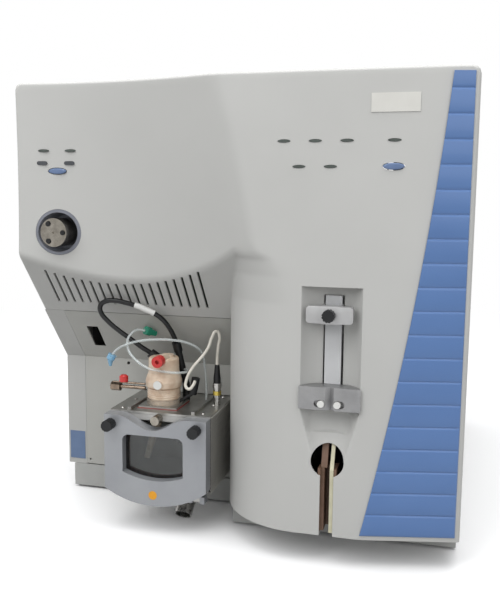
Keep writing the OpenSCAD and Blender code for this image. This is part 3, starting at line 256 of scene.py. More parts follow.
FINISH = {
    "accent_panel": blue_strip, "status_lights": lamp_lens, "access_panel": panel_coat,
    "lower_panel": panel_coat, "left_side_cover": coated_steel, "right_side_cover": coated_steel,
    "top_cover": coated_steel, "rear_panel": rear_coat, "chassis": base_steel, "feet": foot_rubber,
    "port_well": well_abs, "port_flange": nickel, "syringe_rail": rail_enamel,
    "lead_screw": turned_steel, "syringe_pusher": clamp_alu, "pusher_knob": black_abs,
    "syringe_clamp": clamp_alu, "clamp_button_left": white_acetal,
    "clamp_button_right": white_acetal, "syringe_motor": black_abs, "tubing_guide": brown_guide,
    "start_button": blue_key, "mode_button": blue_key, "source_housing": blasted_alu,
    "source_grille": dark_mesh, "source_top": bright_sheet, "source_door": silver_paint,
    "door_window": glass, "door_gasket": brown_seal, "door_knob_left": black_abs,
    "door_knob_right": black_abs, "sweep_cone": turned_steel, "probe_adjuster": nickel,
    "probe_ring": clear_ring, "probe_body": peek, "probe_cap": red_peek, "gas_arm": bronzed,
    "arm_cap": red_peek, "cable_plugs": black_abs, "blue_fitting": blue_luer,
    "green_fitting": green_luer, "tube_connector": turned_steel, "black_fitting": black_abs,
    "drain_tube": turned_steel, "vacuum_manifold": blasted_alu, "turbo_pump": blasted_alu,
    "turbo_rotor": turned_steel, "rod_sets": turned_steel, "detector": turned_steel,
    "circuit_boards": board, "cooling_fan": black_abs, "fan_rotor": black_abs,
    "power_rocker": black_abs, "mains_inlet": black_abs, "rear_ports": turned_steel,
}


# ---------------------------------------------------------------- mesh tools

def dress(mesh, material, angle):
    """Gives a mesh one material and smooth faces with sharp edges above an angle."""
    mesh.materials.clear()
    mesh.materials.append(material)
    mesh.shade_smooth()
    mesh.set_sharp_from_angle(angle=radians(angle))


for name, material in FINISH.items():
    dress(nodes[name].data, material, 30)


def new_object(name, data):
    piece = bpy.data.objects.new(name, data)
    scene.collection.objects.link(piece)
    return piece


def baked(piece):
    """The piece with its modifiers made into a plain mesh."""
    bpy.context.view_layer.update()
    graph = bpy.context.evaluated_depsgraph_get()
    mesh = bpy.data.meshes.new_from_object(piece.evaluated_get(graph))
    if piece.type == "CURVE":
        name = piece.name
        bpy.data.objects.remove(piece)
        return new_object(name, mesh)
    piece.modifiers.clear()
    piece.data = mesh
    return piece


def add_bevel(piece, width, angle=40):
    """Breaks the edges sharper than an angle by width mm."""
    bevel = piece.modifiers.new("bevel", "BEVEL")
    bevel.width = width * MM
    bevel.segments = 2
    bevel.limit_method = "ANGLE"
    bevel.angle_limit = radians(angle)


def add_cut(piece, mesh):
    """Cuts a mesh out of a piece; the returned cutter goes once the piece is baked."""
    cutter = new_object("cutter", mesh)
    cut = piece.modifiers.new("cut", "BOOLEAN")
    cut.operation = "DIFFERENCE"
    cut.solver = "EXACT"
    cut.use_self = True
    cut.object = cutter
    return cutter


def add_wall(piece, thickness):
    """Makes a sheet solid, thickness mm inwards."""
    wall = piece.modifiers.new("wall", "SOLIDIFY")
    wall.thickness = thickness * MM
    wall.offset = -1
    return wall


def finish_piece(piece, material, body="cabinet", angle=35):
    dress(piece.data, material, angle)
    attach(piece, body)
    return piece


# ---------------------------------------------------------------- cords

def tube_along(name, points, diameter, material):
    """A round cord along given points, as one smooth curve."""
    curve = bpy.data.curves.new(name, "CURVE")
    curve.dimensions = "3D"
    curve.bevel_depth = diameter / 2
    curve.bevel_resolution = 5
    curve.resolution_u = 8
    curve.use_fill_caps = True
    line = curve.splines.new("BEZIER")
    line.bezier_points.add(len(points) - 1)
    for knot, p in zip(line.bezier_points, points):
        knot.co = p
        knot.handle_left_type = knot.handle_right_type = "AUTO"
    curve.materials.append(material)
    return new_object(name, curve)


# Routes in mm, each from the end where the cord leaves its plug or plate.
CABLE = [(-141, 104, 245), (-150, 99, 252), (-166, 91, 266), (-183, 84, 280), (-197, 78, 294),
         (-205, 74, 306), (-205, 72, 316), (-197, 71, 323), (-181, 71, 325), (-164, 73, 322),
         (-153, 75, 319), (-140, 79, 314), (-126, 84, 307), (-116, 90, 298), (-109, 97, 286),
         (-104, 104, 272), (-102, 109, 262)]
PLATE_Z = 171.8
CLEAR = [(-62, 130, PLATE_Z), (-62, 130, 192), (-62, 126, 212), (-61, 118, 230), (-61, 109, 246),
         (-66, 100, 257), (-80, 90, 266), (-99, 82, 270), (-124, 77, 270), (-147, 74, 267),
         (-168, 72, 260), (-180, 71, 253), (-186, 70, 246)]
LOOP = [(-90, 113, 221), (-82, 102, 222), (-79, 90, 223), (-81, 79, 224), (-88, 71, 225),
        (-100, 65, 226.5), (-114, 62.5, 228.5), (-128, 62.5, 231), (-140, 65, 236), (-152, 69, 243),
        (-162, 73, 253), (-166, 78, 265), (-163, 85, 275), (-157, 94, 280), (-148, 101, 278)]
WHITE = [(-39, 110, 222), (-39, 110, 240), (-37, 109, 260), (-35, 108, 274), (-39, 105, 282),
         (-44, 101, 274), (-48, 97, 260), (-56, 94, 247), (-64, 90, 237), (-72, 86, 225),
         (-77, 83, 212), (-77, 81, 203), (-72, 81, 200), (-67, 83, 205), (-66, 89, 210)]


def make_cord(name, route, diameter, material, node):
    points = [at(*p) for p in route]
    cord = tube_along(name, points, diameter, material)
    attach(cord, "cabinet")
    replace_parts(cord, node)
    return cord


SLEEVE = [(-153, 75, 319), (-146.5, 77, 317), (-140, 79, 314), (-133, 81.5, 310.7), (-126, 84, 307)]
sleeve = tube_along("cable_sleeve", [at(*p) for p in SLEEVE], 0.0086, white_acetal)
sleeve = finish_piece(baked(sleeve), white_acetal)
make_cord("probe_cable", CABLE, 0.0072, cable_jacket, "black_cable")
make_cord("sample_tube", CLEAR, 0.0036, clear_tube_pvc, "clear_tube")
make_cord("sheath_gas_tube", LOOP, 0.0036, clear_tube_pvc, "loop_tube")
make_cord("heater_tube", WHITE, 0.0044, white_sleeve, "white_tube")


# ---------------------------------------------------------------- front cover

LEFT, RIGHT, LOW, TOP = -310.0, 310.0, 40.0, 628.0
FLANK, BACK, SEAM = -16.0, 166.0, 303.0
ARC_R = 118.0            # round of the flank
EDGE_R = 4.0             # soft edge all round the moulding
CORNER_R = 10.0          # upper corners seen from the front
WELD = 0.02 * MM         # points nearer than this are joined
WALL = 3                 # thickness of the moulding
FAR = 1e3                # a depth that stands for no surface
SYRINGE_X = 143.5
CHIN_SLOPE = 1.2335
CHIN_Y, CHIN_Z = 31.53, 385.5    # a point on the chin's slope
CHIN_FOOT = 98.4                 # its depth at the seam
CONE_TIP = (-40.0, 81.6, -22.0)
CONE_AXIS = (-0.1955, -0.7313, 0.6536)
CONE_COS2 = 0.5324       # squared cosine of its half angle
FOLD_X, FOLD_Z, FOLD_R = -4167.0, 1050.0, 4466.0
FOLD_SLOPE = 0.2303
CHANNEL_Y = -17          # axis of the syringe channel, in front of the panel
CHANNEL_LOW, CHANNEL_TOP = 139.9, 364.0
DISH_X, DISH_Z, DISH_R = 142, 187.5, 10
DISH_HALF = (19, 4)      # from its middle to the centres of its round ends
DISH_DEPTH, DISH_SLOPE = 3.0, 2.4
KEY_X, KEY_Z = 142.0, 139.0      # middle of the keyhole's round part
PORT_X, PORT_Z = -253, 423


def scoop_depth(x, z):
    """The scooped upper left panel: part of a leaning cone."""
    px, pz = x - CONE_TIP[0], z - CONE_TIP[2]
    ux, uy, uz = CONE_AXIS
    m = px * ux + pz * uz
    a = uy * uy - CONE_COS2
    b = 2 * m * uy
    c = m * m - CONE_COS2 * (px * px + pz * pz)
    d = np.sqrt(np.maximum(b * b - 4 * a * c, 0))
    return CONE_TIP[1] + 2 * c / (-b + d)


def chin_depth(z):
    """The slanted louvred face under the scoop."""
    return np.where(z > SEAM - 0.01, CHIN_Y + (CHIN_Z - z) / CHIN_SLOPE, FAR)


def flank_depth(x, z):
    """The upright round of the right-hand column, which tightens towards the shoulder."""
    r = np.interp(z, [340, 375, 395, 403, 430], [ARC_R, 108, 93, 77, 40])
    reach = np.clip(x - (FLANK + r), -r, 0)
    return r - np.sqrt(np.maximum(r ** 2 - reach ** 2, 0))


def fold_depth(x, z):
    """The right edge, folded back along a long arc."""
    return FOLD_SLOPE * (np.hypot(x - FOLD_X, z - FOLD_Z) - FOLD_R)


def trough_depth(x, z):
    """The round syringe channel, which narrows towards the keyhole."""
    r = np.interp(z, [140, 207], [26, 42])
    r = np.where((z > CHANNEL_LOW) & (z < CHANNEL_TOP), r, 0)
    half = r * r - (x - SYRINGE_X) ** 2
    return np.where(half > 0, CHANNEL_Y + np.sqrt(np.maximum(half, 0)), CHANNEL_Y)


def dish_depth(x, z):
    """The shallow finger dish between the syringe clamp and the keyhole."""
    across = np.maximum(abs(x - DISH_X) - DISH_HALF[0], 0)
    along = np.maximum(abs(z - DISH_Z) - DISH_HALF[1], 0)
    t = np.clip(-(np.hypot(across, along) - DISH_R) / DISH_SLOPE, 0, 1)
    return DISH_DEPTH * t * t * (3 - 2 * t)


def blend_max(a, b, k):
    """Larger of two depths, rounded over where they cross; k is the round's size."""
    h = np.clip(0.5 + 0.5 * (a - b) / k, 0, 1)
    return b + (a - b) * h + k * h * (1 - h)


def blend_min(a, b, k):
    return -blend_max(-a, -b, k)


def cover_depth(x, z, lower):
    """Depth of the cover's face behind the front plane; lower is the part under the chin."""
    round_side = np.where(x > FLANK - 0.01, flank_depth(x, z), FAR)
    chin = np.full_like(x, FAR) if lower else chin_depth(z)
    upright = np.minimum(chin, round_side)
    both = (chin < FAR / 2) & (round_side < FAR / 2)
    upright = np.where(both, blend_min(chin, round_side, 3.0), upright)
    upright = np.where(upright > FAR / 2, BACK, upright)
    depth = blend_max(np.maximum(upright, 0), scoop_depth(x, z), 5.0)
    depth = blend_max(depth, np.zeros_like(depth), 1.5)
    depth = blend_max(depth, fold_depth(x, z), 2.5)
    depth = blend_max(depth, trough_depth(x, z), 1.4)
    return depth + dish_depth(x, z)


def steps(a, b, size):
    """Values from a to b, as near as can be to size apart."""
    return list(np.linspace(a, b, max(2, int(round(abs(b - a) / size)) + 1)))


EDGE_TURN = [1 - cos(radians(t)) for t in (0, 15, 30, 45, 60, 75, 90)]


def cover_columns():
    """Where the cover's mesh has its upright lines: close together at each round and rim."""
    turn = EDGE_TURN
    xs = [LEFT + EDGE_R * t for t in turn] + steps(LEFT + EDGE_R, -30, 6) + steps(-30, FLANK, 3.5)
    xs += [FLANK + ARC_R * (1 - cos(radians(t))) for t in steps(0, 90, 1.5)]
    xs += steps(102, 110, 0.8) + steps(110, 177, 2.2) + steps(177, 186, 0.8)
    xs += steps(186, RIGHT - EDGE_R, 5.5) + [RIGHT - EDGE_R * t for t in turn[::-1]]
    return clean(xs)


def clean(values):
    """The values in order, without the doubled ones."""
    values = sorted(values)
    kept = [values[0]]
    for v in values[1:]:
        if v - kept[-1] > 0.02:
            kept.append(v)
    return kept


def cover_rows():
    """Heights of its level lines, under the seam and above it."""
    low = steps(LOW, 132, 6) + steps(132, 150, 1.2) + steps(150, 170, 2.5)
    low += steps(170, 206, 1.2) + steps(206, 215, 2.2) + steps(215, SEAM, 6)
    high = steps(SEAM, 352, 3) + steps(352, 363.2, 2)
    high += [CHANNEL_TOP - 0.15, CHANNEL_TOP + 0.15] + steps(365, 420, 3)
    high += steps(420, TOP - EDGE_R, 6) + [TOP - EDGE_R * t for t in EDGE_TURN[::-1]]
    return clean(low), clean(high)


def edge_drop(d):
    """Depth of the soft edge at distance d in from the rim."""
    d = np.clip(d, 0, EDGE_R)
    return EDGE_R - np.sqrt(np.maximum(EDGE_R ** 2 - (EDGE_R - d) ** 2, 0))


def corner_mapped(x, z):
    """Squares each upper corner into its round; returns x, z and the distance to the rim."""
    rim = np.minimum(np.minimum(x - LEFT, RIGHT - x), TOP - z)
    for side, edge in ((-1, LEFT), (1, RIGHT)):
        cx, cz = edge - side * CORNER_R, TOP - CORNER_R
        a, b = (x - cx) * side / CORNER_R, (z - cz) / CORNER_R
        inside = (a > 0) & (b > 0)
        t = np.maximum(a, b)
        size = np.hypot(a, b) + 1e-9
        x = np.where(inside, cx + side * CORNER_R * t * a / size, x)
        z = np.where(inside, cz + CORNER_R * t * b / size, z)
        rim = np.where(inside, CORNER_R * (1 - t), rim)
    return x, z, rim


def grid_faces(rows, columns, start=0):
    """Faces of a grid of points numbered row by row from start."""
    return [(start + i * columns + j, start + i * columns + j + 1,
             start + (i + 1) * columns + j + 1, start + (i + 1) * columns + j)
            for i in range(rows - 1) for j in range(columns - 1)]


def cover_shell():
    """The moulding's outer face and the returns of its edges, as one sheet."""
    cols = np.array(cover_columns())
    low, high = cover_rows()
    split = int(np.argmin(abs(cols - FLANK)))
    points, faces = [], []
    for rows, first, lower in ((low, split, True), (high, 0, False)):
        xx, zz = np.meshgrid(cols[first:], np.array(rows))
        px, pz, rim = corner_mapped(xx, zz)
        depth = np.minimum(cover_depth(px, pz, lower) + edge_drop(rim), BACK - 1)
        faces += grid_faces(*px.shape, start=len(points))
        points += [at(*p) for p in zip(px.ravel(), depth.ravel(), pz.ravel())]
    mesh = bpy.data.meshes.new("cover")
    mesh.from_pydata(points, [], faces)
    work = bmesh.new()
    work.from_mesh(mesh)
    bmesh.ops.remove_doubles(work, verts=work.verts, dist=WELD)
    rim_edges = [e for e in work.edges if len(e.link_faces) == 1]
    made = bmesh.ops.extrude_edge_only(work, edges=rim_edges)["geom"]
    for v in (g for g in made if isinstance(g, bmesh.types.BMVert)):
        v.co.y = (BACK - MID_Y) * MM
    bmesh.ops.remove_doubles(work, verts=work.verts, dist=WELD)
    bmesh.ops.recalc_face_normals(work, faces=work.faces)

    def high_right(face):
        middle = face.calc_center_median()
        return middle.z - abs(middle.x - 0.2)

    if max(work.faces, key=high_right).normal.y > 0:
        bmesh.ops.reverse_faces(work, faces=work.faces)
    work.to_mesh(mesh)
    work.free()
    return mesh


def bands(count, levels):
    """Faces between stacked rings of count points each."""
    return [(k * count + i, k * count + (i + 1) % count, (k + 1) * count + (i + 1) % count,
             (k + 1) * count + i) for k in range(levels - 1) for i in range(count)]


def prism_faces(n):
    return [tuple(range(n))[::-1], tuple(range(n, 2 * n))] + bands(n, 2)


def prism(outline, y0, y1):
    """Points and faces of a prism along Y; outline is (x, z) pairs in mm."""
    points = [(x, y, z) for y in (y0, y1) for x, z in outline]
    return points, prism_faces(len(outline))


def column(outline, z0, z1):
    """The same, upright; outline is (x, y) pairs in mm."""
    points = [(x, y, z) for z in (z0, z1) for x, y in outline]
    return points, prism_faces(len(outline))


def mesh_of(name, parts):
    """One mesh from several (points, faces) lists given in mm."""
    points, faces = [], []
    for pts, fcs in parts:
        start = len(points)
        points += [at(*p) for p in pts]
        faces += [tuple(start + i for i in f) for f in fcs]
    mesh = bpy.data.meshes.new(name)
    mesh.from_pydata(points, [], faces)
    work = bmesh.new()
    work.from_mesh(mesh)
    bmesh.ops.recalc_face_normals(work, faces=work.faces)
    work.to_mesh(mesh)
    work.free()
    return mesh


def ring(cx, cz, r, count, start=0.0, end=360.0):
    """Points of a circle, or of an arc with both its ends, (x, z) pairs."""
    turns = np.radians(np.linspace(start, end, count, endpoint=end - start < 359.9))
    return [(cx + r * cos(t), cz + r * sin(t)) for t in turns]


def pill(cx, cz, w, h, count):
    """Outline of a rectangle with half-round ends."""
    r = h / 2
    half = w / 2 - r
    turns = np.linspace(-pi / 2, pi / 2, count)
    right_end = [(cx + half + r * cos(t), cz + r * sin(t)) for t in turns]
    left_end = [(cx - half - r * cos(t), cz - r * sin(t)) for t in turns]
    return right_end + left_end


def full_turn(count):
    return np.linspace(0, 2 * pi, count, endpoint=False)


def oval(cx, cz, w, h, count=36):
    return [(cx + w / 2 * cos(t), cz + h / 2 * sin(t)) for t in full_turn(count)]


def keyhole_outline():
    """A round hole that runs on downwards as a slot."""
    r, half = 21.5, 8.8
    low = degrees(atan2(-sqrt(r * r - half * half), half))
    arc = ring(KEY_X, KEY_Z, r, 44, low, 180 - low)
    return arc + [(KEY_X - half, LOW - 5), (KEY_X + half, LOW - 5)]


LOUVRES, LOUVRE_X, LOUVRE_SPAN = 19, -278, 232
LOUVRE_HALF, LOUVRE_LOW, LOUVRE_DEPTH = 1.9, 18.7, 9
LOUVRE_ARC = (-169, 272, 61)     # x of its middle, radius and lowest height of their upper ends
BOX_FACES = [(3, 2, 1, 0), (4, 5, 6, 7), (0, 1, 5, 4), (1, 2, 6, 5), (2, 3, 7, 6), (3, 0, 4, 7)]


def louvre_parts():
    """Slots in the chin, from one level up to an arc; s runs up its slope and n across it."""
    parts = []
    run = hypot(1, CHIN_SLOPE)
    up_y, up_z = -1 / run, CHIN_SLOPE / run
    out_y, out_z = -CHIN_SLOPE / run, -1 / run
    arc_x, arc_r, arc_low = LOUVRE_ARC
    for k in range(LOUVRES):
        x = LOUVRE_X + k * (LOUVRE_SPAN / (LOUVRES - 1))
        top = arc_low + arc_r - sqrt(arc_r ** 2 - (x - arc_x) ** 2)
        corners = [(x + dx, CHIN_FOOT + up_y * s + out_y * n, SEAM + up_z * s + out_z * n)
                   for n in (-LOUVRE_DEPTH, LOUVRE_DEPTH)
                   for dx, s in ((-LOUVRE_HALF, LOUVRE_LOW), (LOUVRE_HALF, LOUVRE_LOW),
                                 (LOUVRE_HALF, top), (-LOUVRE_HALF, top))]
        parts.append((corners, BOX_FACES))
    return parts


FRONT_LIGHTS = [(79.6, 543), (118.6, 543), (157.4, 543), (214, 543), (98.8, 512), (137.8, 512)]
LEFT_LIGHTS = [(-271, 536), (-232, 536)]
START_KEY, MODE_KEY = (214, 512), (-252, 508)


def cover_openings():
    parts = louvre_parts()
    """Everything that is cut out of the moulding, as one mesh."""
    half = 13.1
    window = [(SYRINGE_X - half, 214), (SYRINGE_X + half, 214), (SYRINGE_X + half, 352),
              (SYRINGE_X - half, 352)]
    parts.append(prism(window, 12, 40))
    parts.append(prism(keyhole_outline(), -3, 36))
    parts.append(prism(ring(PORT_X, PORT_Z, 32.3, 72), -2, 60))
    for lights, key, key_w, reach in ((FRONT_LIGHTS, START_KEY, 27.0, (-3, 8)),
                                      (LEFT_LIGHTS, MODE_KEY, 28.0, (12, 62))):
        parts += [prism(oval(x, z, 16.4, 4.2), *reach) for x, z in lights]
        parts.append(prism(oval(*key, key_w, 9.8), *reach))
    return mesh_of("openings", parts)


def make_cover():
    cover = new_object("front_cover_moulding", cover_shell())
    add_wall(cover, WALL).use_even_offset = False
    baked(cover)
    cutter = add_cut(cover, cover_openings())
    baked(cover)
    bpy.data.objects.remove(cutter)
    finish_piece(cover, cover_abs, angle=32)
    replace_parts(cover, "front_cover")


make_cover()


# ---------------------------------------------------------------- ribbed side strip

def make_side_strip():
    """Blue strip on the folded side, with twenty moulded ribs; the top one is cut short."""
    low, top, right, count = 46.0, 621.0, 304.0, 20
    pitch = (top - low) / (count - 0.35)
    zs = []
    for k in range(count):
        base = low + k * pitch
        zs += [base + t for t in (0, 0.8, 1.8, 3.0, pitch * 0.5,
                                  pitch - 3.0, pitch - 2.2, pitch - 1.4)]
    zs = np.array([z for z in zs if z < top - 0.5] + [top])
    t = (zs - low) % pitch
    lift = 1.1 * np.clip(t / 3.0, 0, 1) ** 0.5 * np.clip((pitch - 1.2 - t) / 1.2, 0, 1) ** 0.5
    left = FOLD_X + np.sqrt(FOLD_R ** 2 - (zs - FOLD_Z) ** 2) + 1.0
    share = np.array([0, 0.004, 0.012, 0.25, 0.5, 0.75, 0.988, 0.996, 1.0])
    soft = np.array([0, 0.6, 1, 1, 1, 1, 1, 0.6, 0])
    x = left[:, None] + (right - left[:, None]) * share[None, :]
    z = np.repeat(zs[:, None], len(share), 1)
    y = fold_depth(x, z) - 0.3 - soft[None, :] * (0.6 + lift[:, None])
    points = [at(*p) for p in zip(x.ravel(), y.ravel(), z.ravel())]
    mesh = bpy.data.meshes.new("strip")
    mesh.from_pydata(points, [], grid_faces(*x.shape))
    strip = new_object("ribbed_side_strip", mesh)
    add_wall(strip, 1.2)
    baked(strip)
    finish_piece(strip, blue_strip, angle=28)
    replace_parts(strip, "accent_panel")


make_side_strip()


# ---------------------------------------------------------------- softened machined parts

def softened(node, body, width):
    """A copy of a CAD node with its sharp edges broken by width mm."""
    source = nodes[node]
    piece = new_object(node + "_soft", source.data.copy())
    work = bmesh.new()
    work.from_mesh(piece.data)
    bmesh.ops.dissolve_limit(work, angle_limit=radians(0.8), verts=work.verts, edges=work.edges)
    work.to_mesh(piece.data)
    work.free()
    add_bevel(piece, width, 35)
    baked(piece)
    finish_piece(piece, FINISH[node], body)
    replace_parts(piece, node)


for node, body, width in (("source_door", "door", 1.0), ("door_knob_left", "door_knob_left", 1.0),
                          ("door_knob_right", "door_knob_right", 1.0),
                          ("syringe_pusher", "pusher", 0.7), ("pusher_knob", "pusher_knob", 0.6)):
    softened(node, body, width)


# ---------------------------------------------------------------- syringe clamp block

def make_clamp():
    """Flat-topped block fitted to the channel, with its groove and two button pockets."""
    face, back, r = -4.0, 18.7, 41.6
    half = sqrt(r * r - (face - CHANNEL_Y) ** 2)
    turn = degrees(atan2(face - CHANNEL_Y, half))
    arc = [(SYRINGE_X + r * cos(radians(a)), min(back, CHANNEL_Y + r * sin(radians(a))))
           for a in np.linspace(turn, 180 - turn, 60)]
    clamp = new_object("syringe_clamp_block", mesh_of("clamp", [column(arc, 208, 237.5)]))
    x, g = 144, 5.66
    groove = column([(x - g, face - 0.01), (x, face - 6), (x + g, face - 0.01), (x, face + g)],
                    200, 250)
    parts = [groove] + [prism(pill(SYRINGE_X + dx, 216, 14, 9, 12), face - 3, face + 7)
                        for dx in (-12.5, 12.5)]
    cutter = add_cut(clamp, mesh_of("clamp_cut", parts))
    add_bevel(clamp, 0.6)
    baked(clamp)
    bpy.data.objects.remove(cutter)
    finish_piece(clamp, grey_alu)
    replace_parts(clamp, "syringe_clamp")


make_clamp()


# ---------------------------------------------------------------- small pieces

def block(x0, x1, y0, y1, z0, z1):
    return column([(x0, y0), (x1, y0), (x1, y1), (x0, y1)], z0, z1)


def leaning(x0, x1, low, high, z0, z1):
    """A block from z0 to z1 whose front and back (y, y) go from low to high."""
    points = [(x, y, z) for z, span in ((z0, low), (z1, high)) for x in (x0, x1) for y in span]
    faces = [(0, 1, 3, 2), (4, 6, 7, 5), (0, 2, 6, 4), (1, 5, 7, 3), (0, 4, 5, 1), (2, 3, 7, 6)]
    return points, faces


def small(name, parts, material, body="cabinet", angle=35):
    return finish_piece(new_object(name, mesh_of(name, parts)), material, body, angle=angle)


def disc(x, z, r, y0, y1, count=40):
    return prism(ring(x, z, r, count), y0, y1)


def turned(cx, cy, profile, count=40):
    """An upright turned piece; profile is (radius, height) pairs from the bottom up."""
    points = []
    for r, z in profile:
        points += [(cx + r * cos(t), cy + r * sin(t), z) for t in full_turn(count)]
    last = (len(profile) - 1) * count
    faces = bands(count, len(profile))
    faces += [tuple(range(count))[::-1], tuple(range(last, last + count))]
    return points, faces


def rounded(x0, x1, z0, z1, r, count=7):
    """Outline of a rectangle with round corners, (x, z) pairs."""
    points = []
    for cx, cz, a in ((x1 - r, z1 - r, 0), (x0 + r, z1 - r, 90), (x0 + r, z0 + r, 180),
                      (x1 - r, z0 + r, 270)):
        points += [(cx + r * cos(radians(a + t)), cz + r * sin(radians(a + t)))
                   for t in np.linspace(0, 90, count)]
    return points


def bevelled(name, parts, width, material, body="cabinet"):
    """A small piece whose sharp edges are broken by width mm."""
    piece = new_object(name, mesh_of(name, parts))
    add_bevel(piece, width)
    return finish_piece(baked(piece), material, body)


bevelled("pusher_face", [prism(rounded(111.8, 171.2, 318.6, 340.4, 4.5), -5.4, 7.6)], 0.9,
         clamp_alu, "pusher")
small("badge_plate", [prism([(185.4, 575.7), (242.9, 575.7), (242.9, 598), (185.4, 598)],
                            -0.5, 0.1)], badge_film)
small("side_plate", [prism([(-307, 48), (-281, 48), (-281, 94), (-307, 94)], 165.4, 166.1)],
      slate_film)
small("amber_dot", [disc(-106.7, 58, 6.2, 24.7, 25.1)], amber_film, "door")
small("probe_button", [disc(-113, 207, 6.3, 60.8, 62.4)], white_acetal)
small("pad_seal", [block(-144.2, -83.8, 61.8, 118.2, 171.75, 172.5)], red_seal)
boot = [(5.4, 203), (5.4, 212), (4.4, 220), (3.6, 231), (3.2, 232)]
small("tube_boot", [turned(-39, 110, boot)], black_abs)
small("connector_band", [turned(-39, 110, [(6.3, 187), (6.3, 193)])], brass_band)
RIDGE_PITCH = 3.1
ridges = [(r, z + RIDGE_PITCH * k) for k in range(7)
          for r, z in ((22.6, 184), (24.1, 184.6), (24.1, 186.0), (22.6, 186.8))]
small("probe_ridges", [turned(-114, 90, ridges, 72)], peek, angle=20)
small("cream_guide_strip", [block(145.6, 150.4, 2.4, 9, 44, 128),
                            leaning(145.6, 150.4, (2.4, 9), (21.5, 25), 128, 168)], cream_strip)
small("brown_guide_strip", [leaning(133.4, 141.4, (8, 27), (21, 27), 129.2, 168)], brown_guide)


def scoop_at(x, z):
    """Depth of the scoop at one point, mm."""
    return float(scoop_depth(np.array(float(x)), np.array(float(z))))


small("dark_tabs", [prism(pill(x, z, 15.5, 5.4, 5), scoop_at(x, z) - 1.3, scoop_at(x, z) + 1.5)
                    for x, z in ((-273.7, 519), (-234, 519))], tab_film)

# Almond-shaped status lenses and the two oval keys, seated where the CAD pieces are.
lenses = [prism(oval(x, z, 16, 3.8), -0.3, 3) for x, z in FRONT_LIGHTS]
lenses += [prism(oval(x, z, 16, 3.8), scoop_at(x, z) - 1.4, scoop_at(x, z) + 4)
           for x, z in LEFT_LIGHTS]
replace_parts(small("status_lenses", lenses, lamp_lens), "status_lights")


def front_of(node):
    """The foremost depth of a CAD node, mm."""
    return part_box(node)[0].y / MM + MID_Y


def oval_key(node, x, z, w):
    """A key whose face is domed towards its middle."""
    front = front_of(node)
    rings = [(1.0, 3.0), (1.0, 0.9), (0.93, 0.35), (0.8, 0.1), (0.45, 0.0)]
    points, count = [], 40
    for share, y in rings:
        points += [(px, front + y, pz) for px, pz in oval(x, z, w * share, 8.2 * share, count)]
    last = (len(rings) - 1) * count
    faces = bands(count, len(rings)) + [tuple(range(count)), tuple(range(last, last + count))]
    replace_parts(small(node + "_oval", [(points, faces)], blue_key, node, 50), node)


oval_key("start_button", *START_KEY, 25.5)
oval_key("mode_button", *MODE_KEY, 26.5)

SCREW_CIRCLE = 14.2
flange = front_of("port_flange")
small("port_screws", [disc(PORT_X + SCREW_CIRCLE * cos(radians(a)),
                           PORT_Z + SCREW_CIRCLE * sin(radians(a)), 3.5,
                           flange - 1.2, flange + 1, 20) for a in (0, 124, 236)], black_abs)


# ---------------------------------------------------------------- repeated pieces by Geometry Nodes

def node_tree(name, inputs):
    """A new tree and its group inputs, from (label, socket type, default value) rows."""
    tree = bpy.data.node_groups.new(name, "GeometryNodeTree")
    tree.interface.new_socket(name="Geometry", in_out="OUTPUT", socket_type="NodeSocketGeometry")
    for label, kind, value in inputs:
        socket = tree.interface.new_socket(name=label, in_out="INPUT", socket_type=kind)
        socket.default_value = value
    return tree, add(tree, "NodeGroupInput").outputs


def spread_over(tree, grid, single, material, **placed):
    """Puts one copy on each of a grid's points, moves them all and ends the tree."""
    spread = add(tree, "GeometryNodeInstanceOnPoints",
                 {"Points": grid.outputs["Mesh"], "Instance": single})
    real = add(tree, "GeometryNodeRealizeInstances", {"Geometry": spread.outputs["Instances"]})
    moved = add(tree, "GeometryNodeTransform", {"Geometry": real.outputs["Geometry"], **placed})
    skin = add(tree, "GeometryNodeSetMaterial", {"Geometry": moved.outputs["Geometry"]})
    skin.inputs["Material"].default_value = material
    add(tree, "NodeGroupOutput", {"Geometry": skin.outputs["Geometry"]})
    return tree


def grow(name, tree, values, material):
    """Runs a tree on an empty mesh, with its named inputs set, and keeps the result."""
    piece = new_object(name, bpy.data.meshes.new(name))
    modifier = piece.modifiers.new("nodes", "NODES")
    modifier.node_group = tree
    for socket in tree.interface.items_tree:
        if socket.item_type == "SOCKET" and socket.in_out == "INPUT" and socket.name in values:
            modifier[socket.identifier] = values[socket.name]
    baked(piece)
    return finish_piece(piece, material)


def woven_mesh():
    """Crossed wires over the grille plate, cell by cell."""
    tree, given = node_tree("woven_mesh", (
        ("Cell", "NodeSocketFloat", 0.0055), ("Wire", "NodeSocketFloat", 0.0007),
        ("Columns", "NodeSocketInt", 20), ("Rows", "NodeSocketInt", 19),
        ("Place", "NodeSocketVector", (0, 0, 0))))
    wide, tall, length = [add(tree, "ShaderNodeMath", {0: given["Cell"], 1: factor},
                              operation="MULTIPLY")
                          for factor in (given["Columns"], given["Rows"], 1.5)]
    grid = add(tree, "GeometryNodeMeshGrid",
               {"Size X": wide.outputs[0], "Size Y": tall.outputs[0],
                "Vertices X": given["Columns"], "Vertices Y": given["Rows"]})
    size = add(tree, "ShaderNodeCombineXYZ",
               {"X": length.outputs[0], "Y": given["Wire"], "Z": given["Wire"]})
    wire = add(tree, "GeometryNodeMeshCube", {"Size": size.outputs[0]})
    arms = [add(tree, "GeometryNodeTransform",
                {"Geometry": wire.outputs["Mesh"], "Rotation": (0, 0, radians(a))})
            for a in (45, -45)]
    cross = add(tree, "GeometryNodeJoinGeometry")
    for arm in arms:
        tree.links.new(arm.outputs["Geometry"], cross.inputs["Geometry"])
    return spread_over(tree, grid, cross.outputs["Geometry"], wire_steel,
                       Rotation=(radians(90), 0, radians(90)), Translation=given["Place"])


grow("grille_wires", woven_mesh(), {"Place": at(-28.3, 104, 115)}, wire_steel)


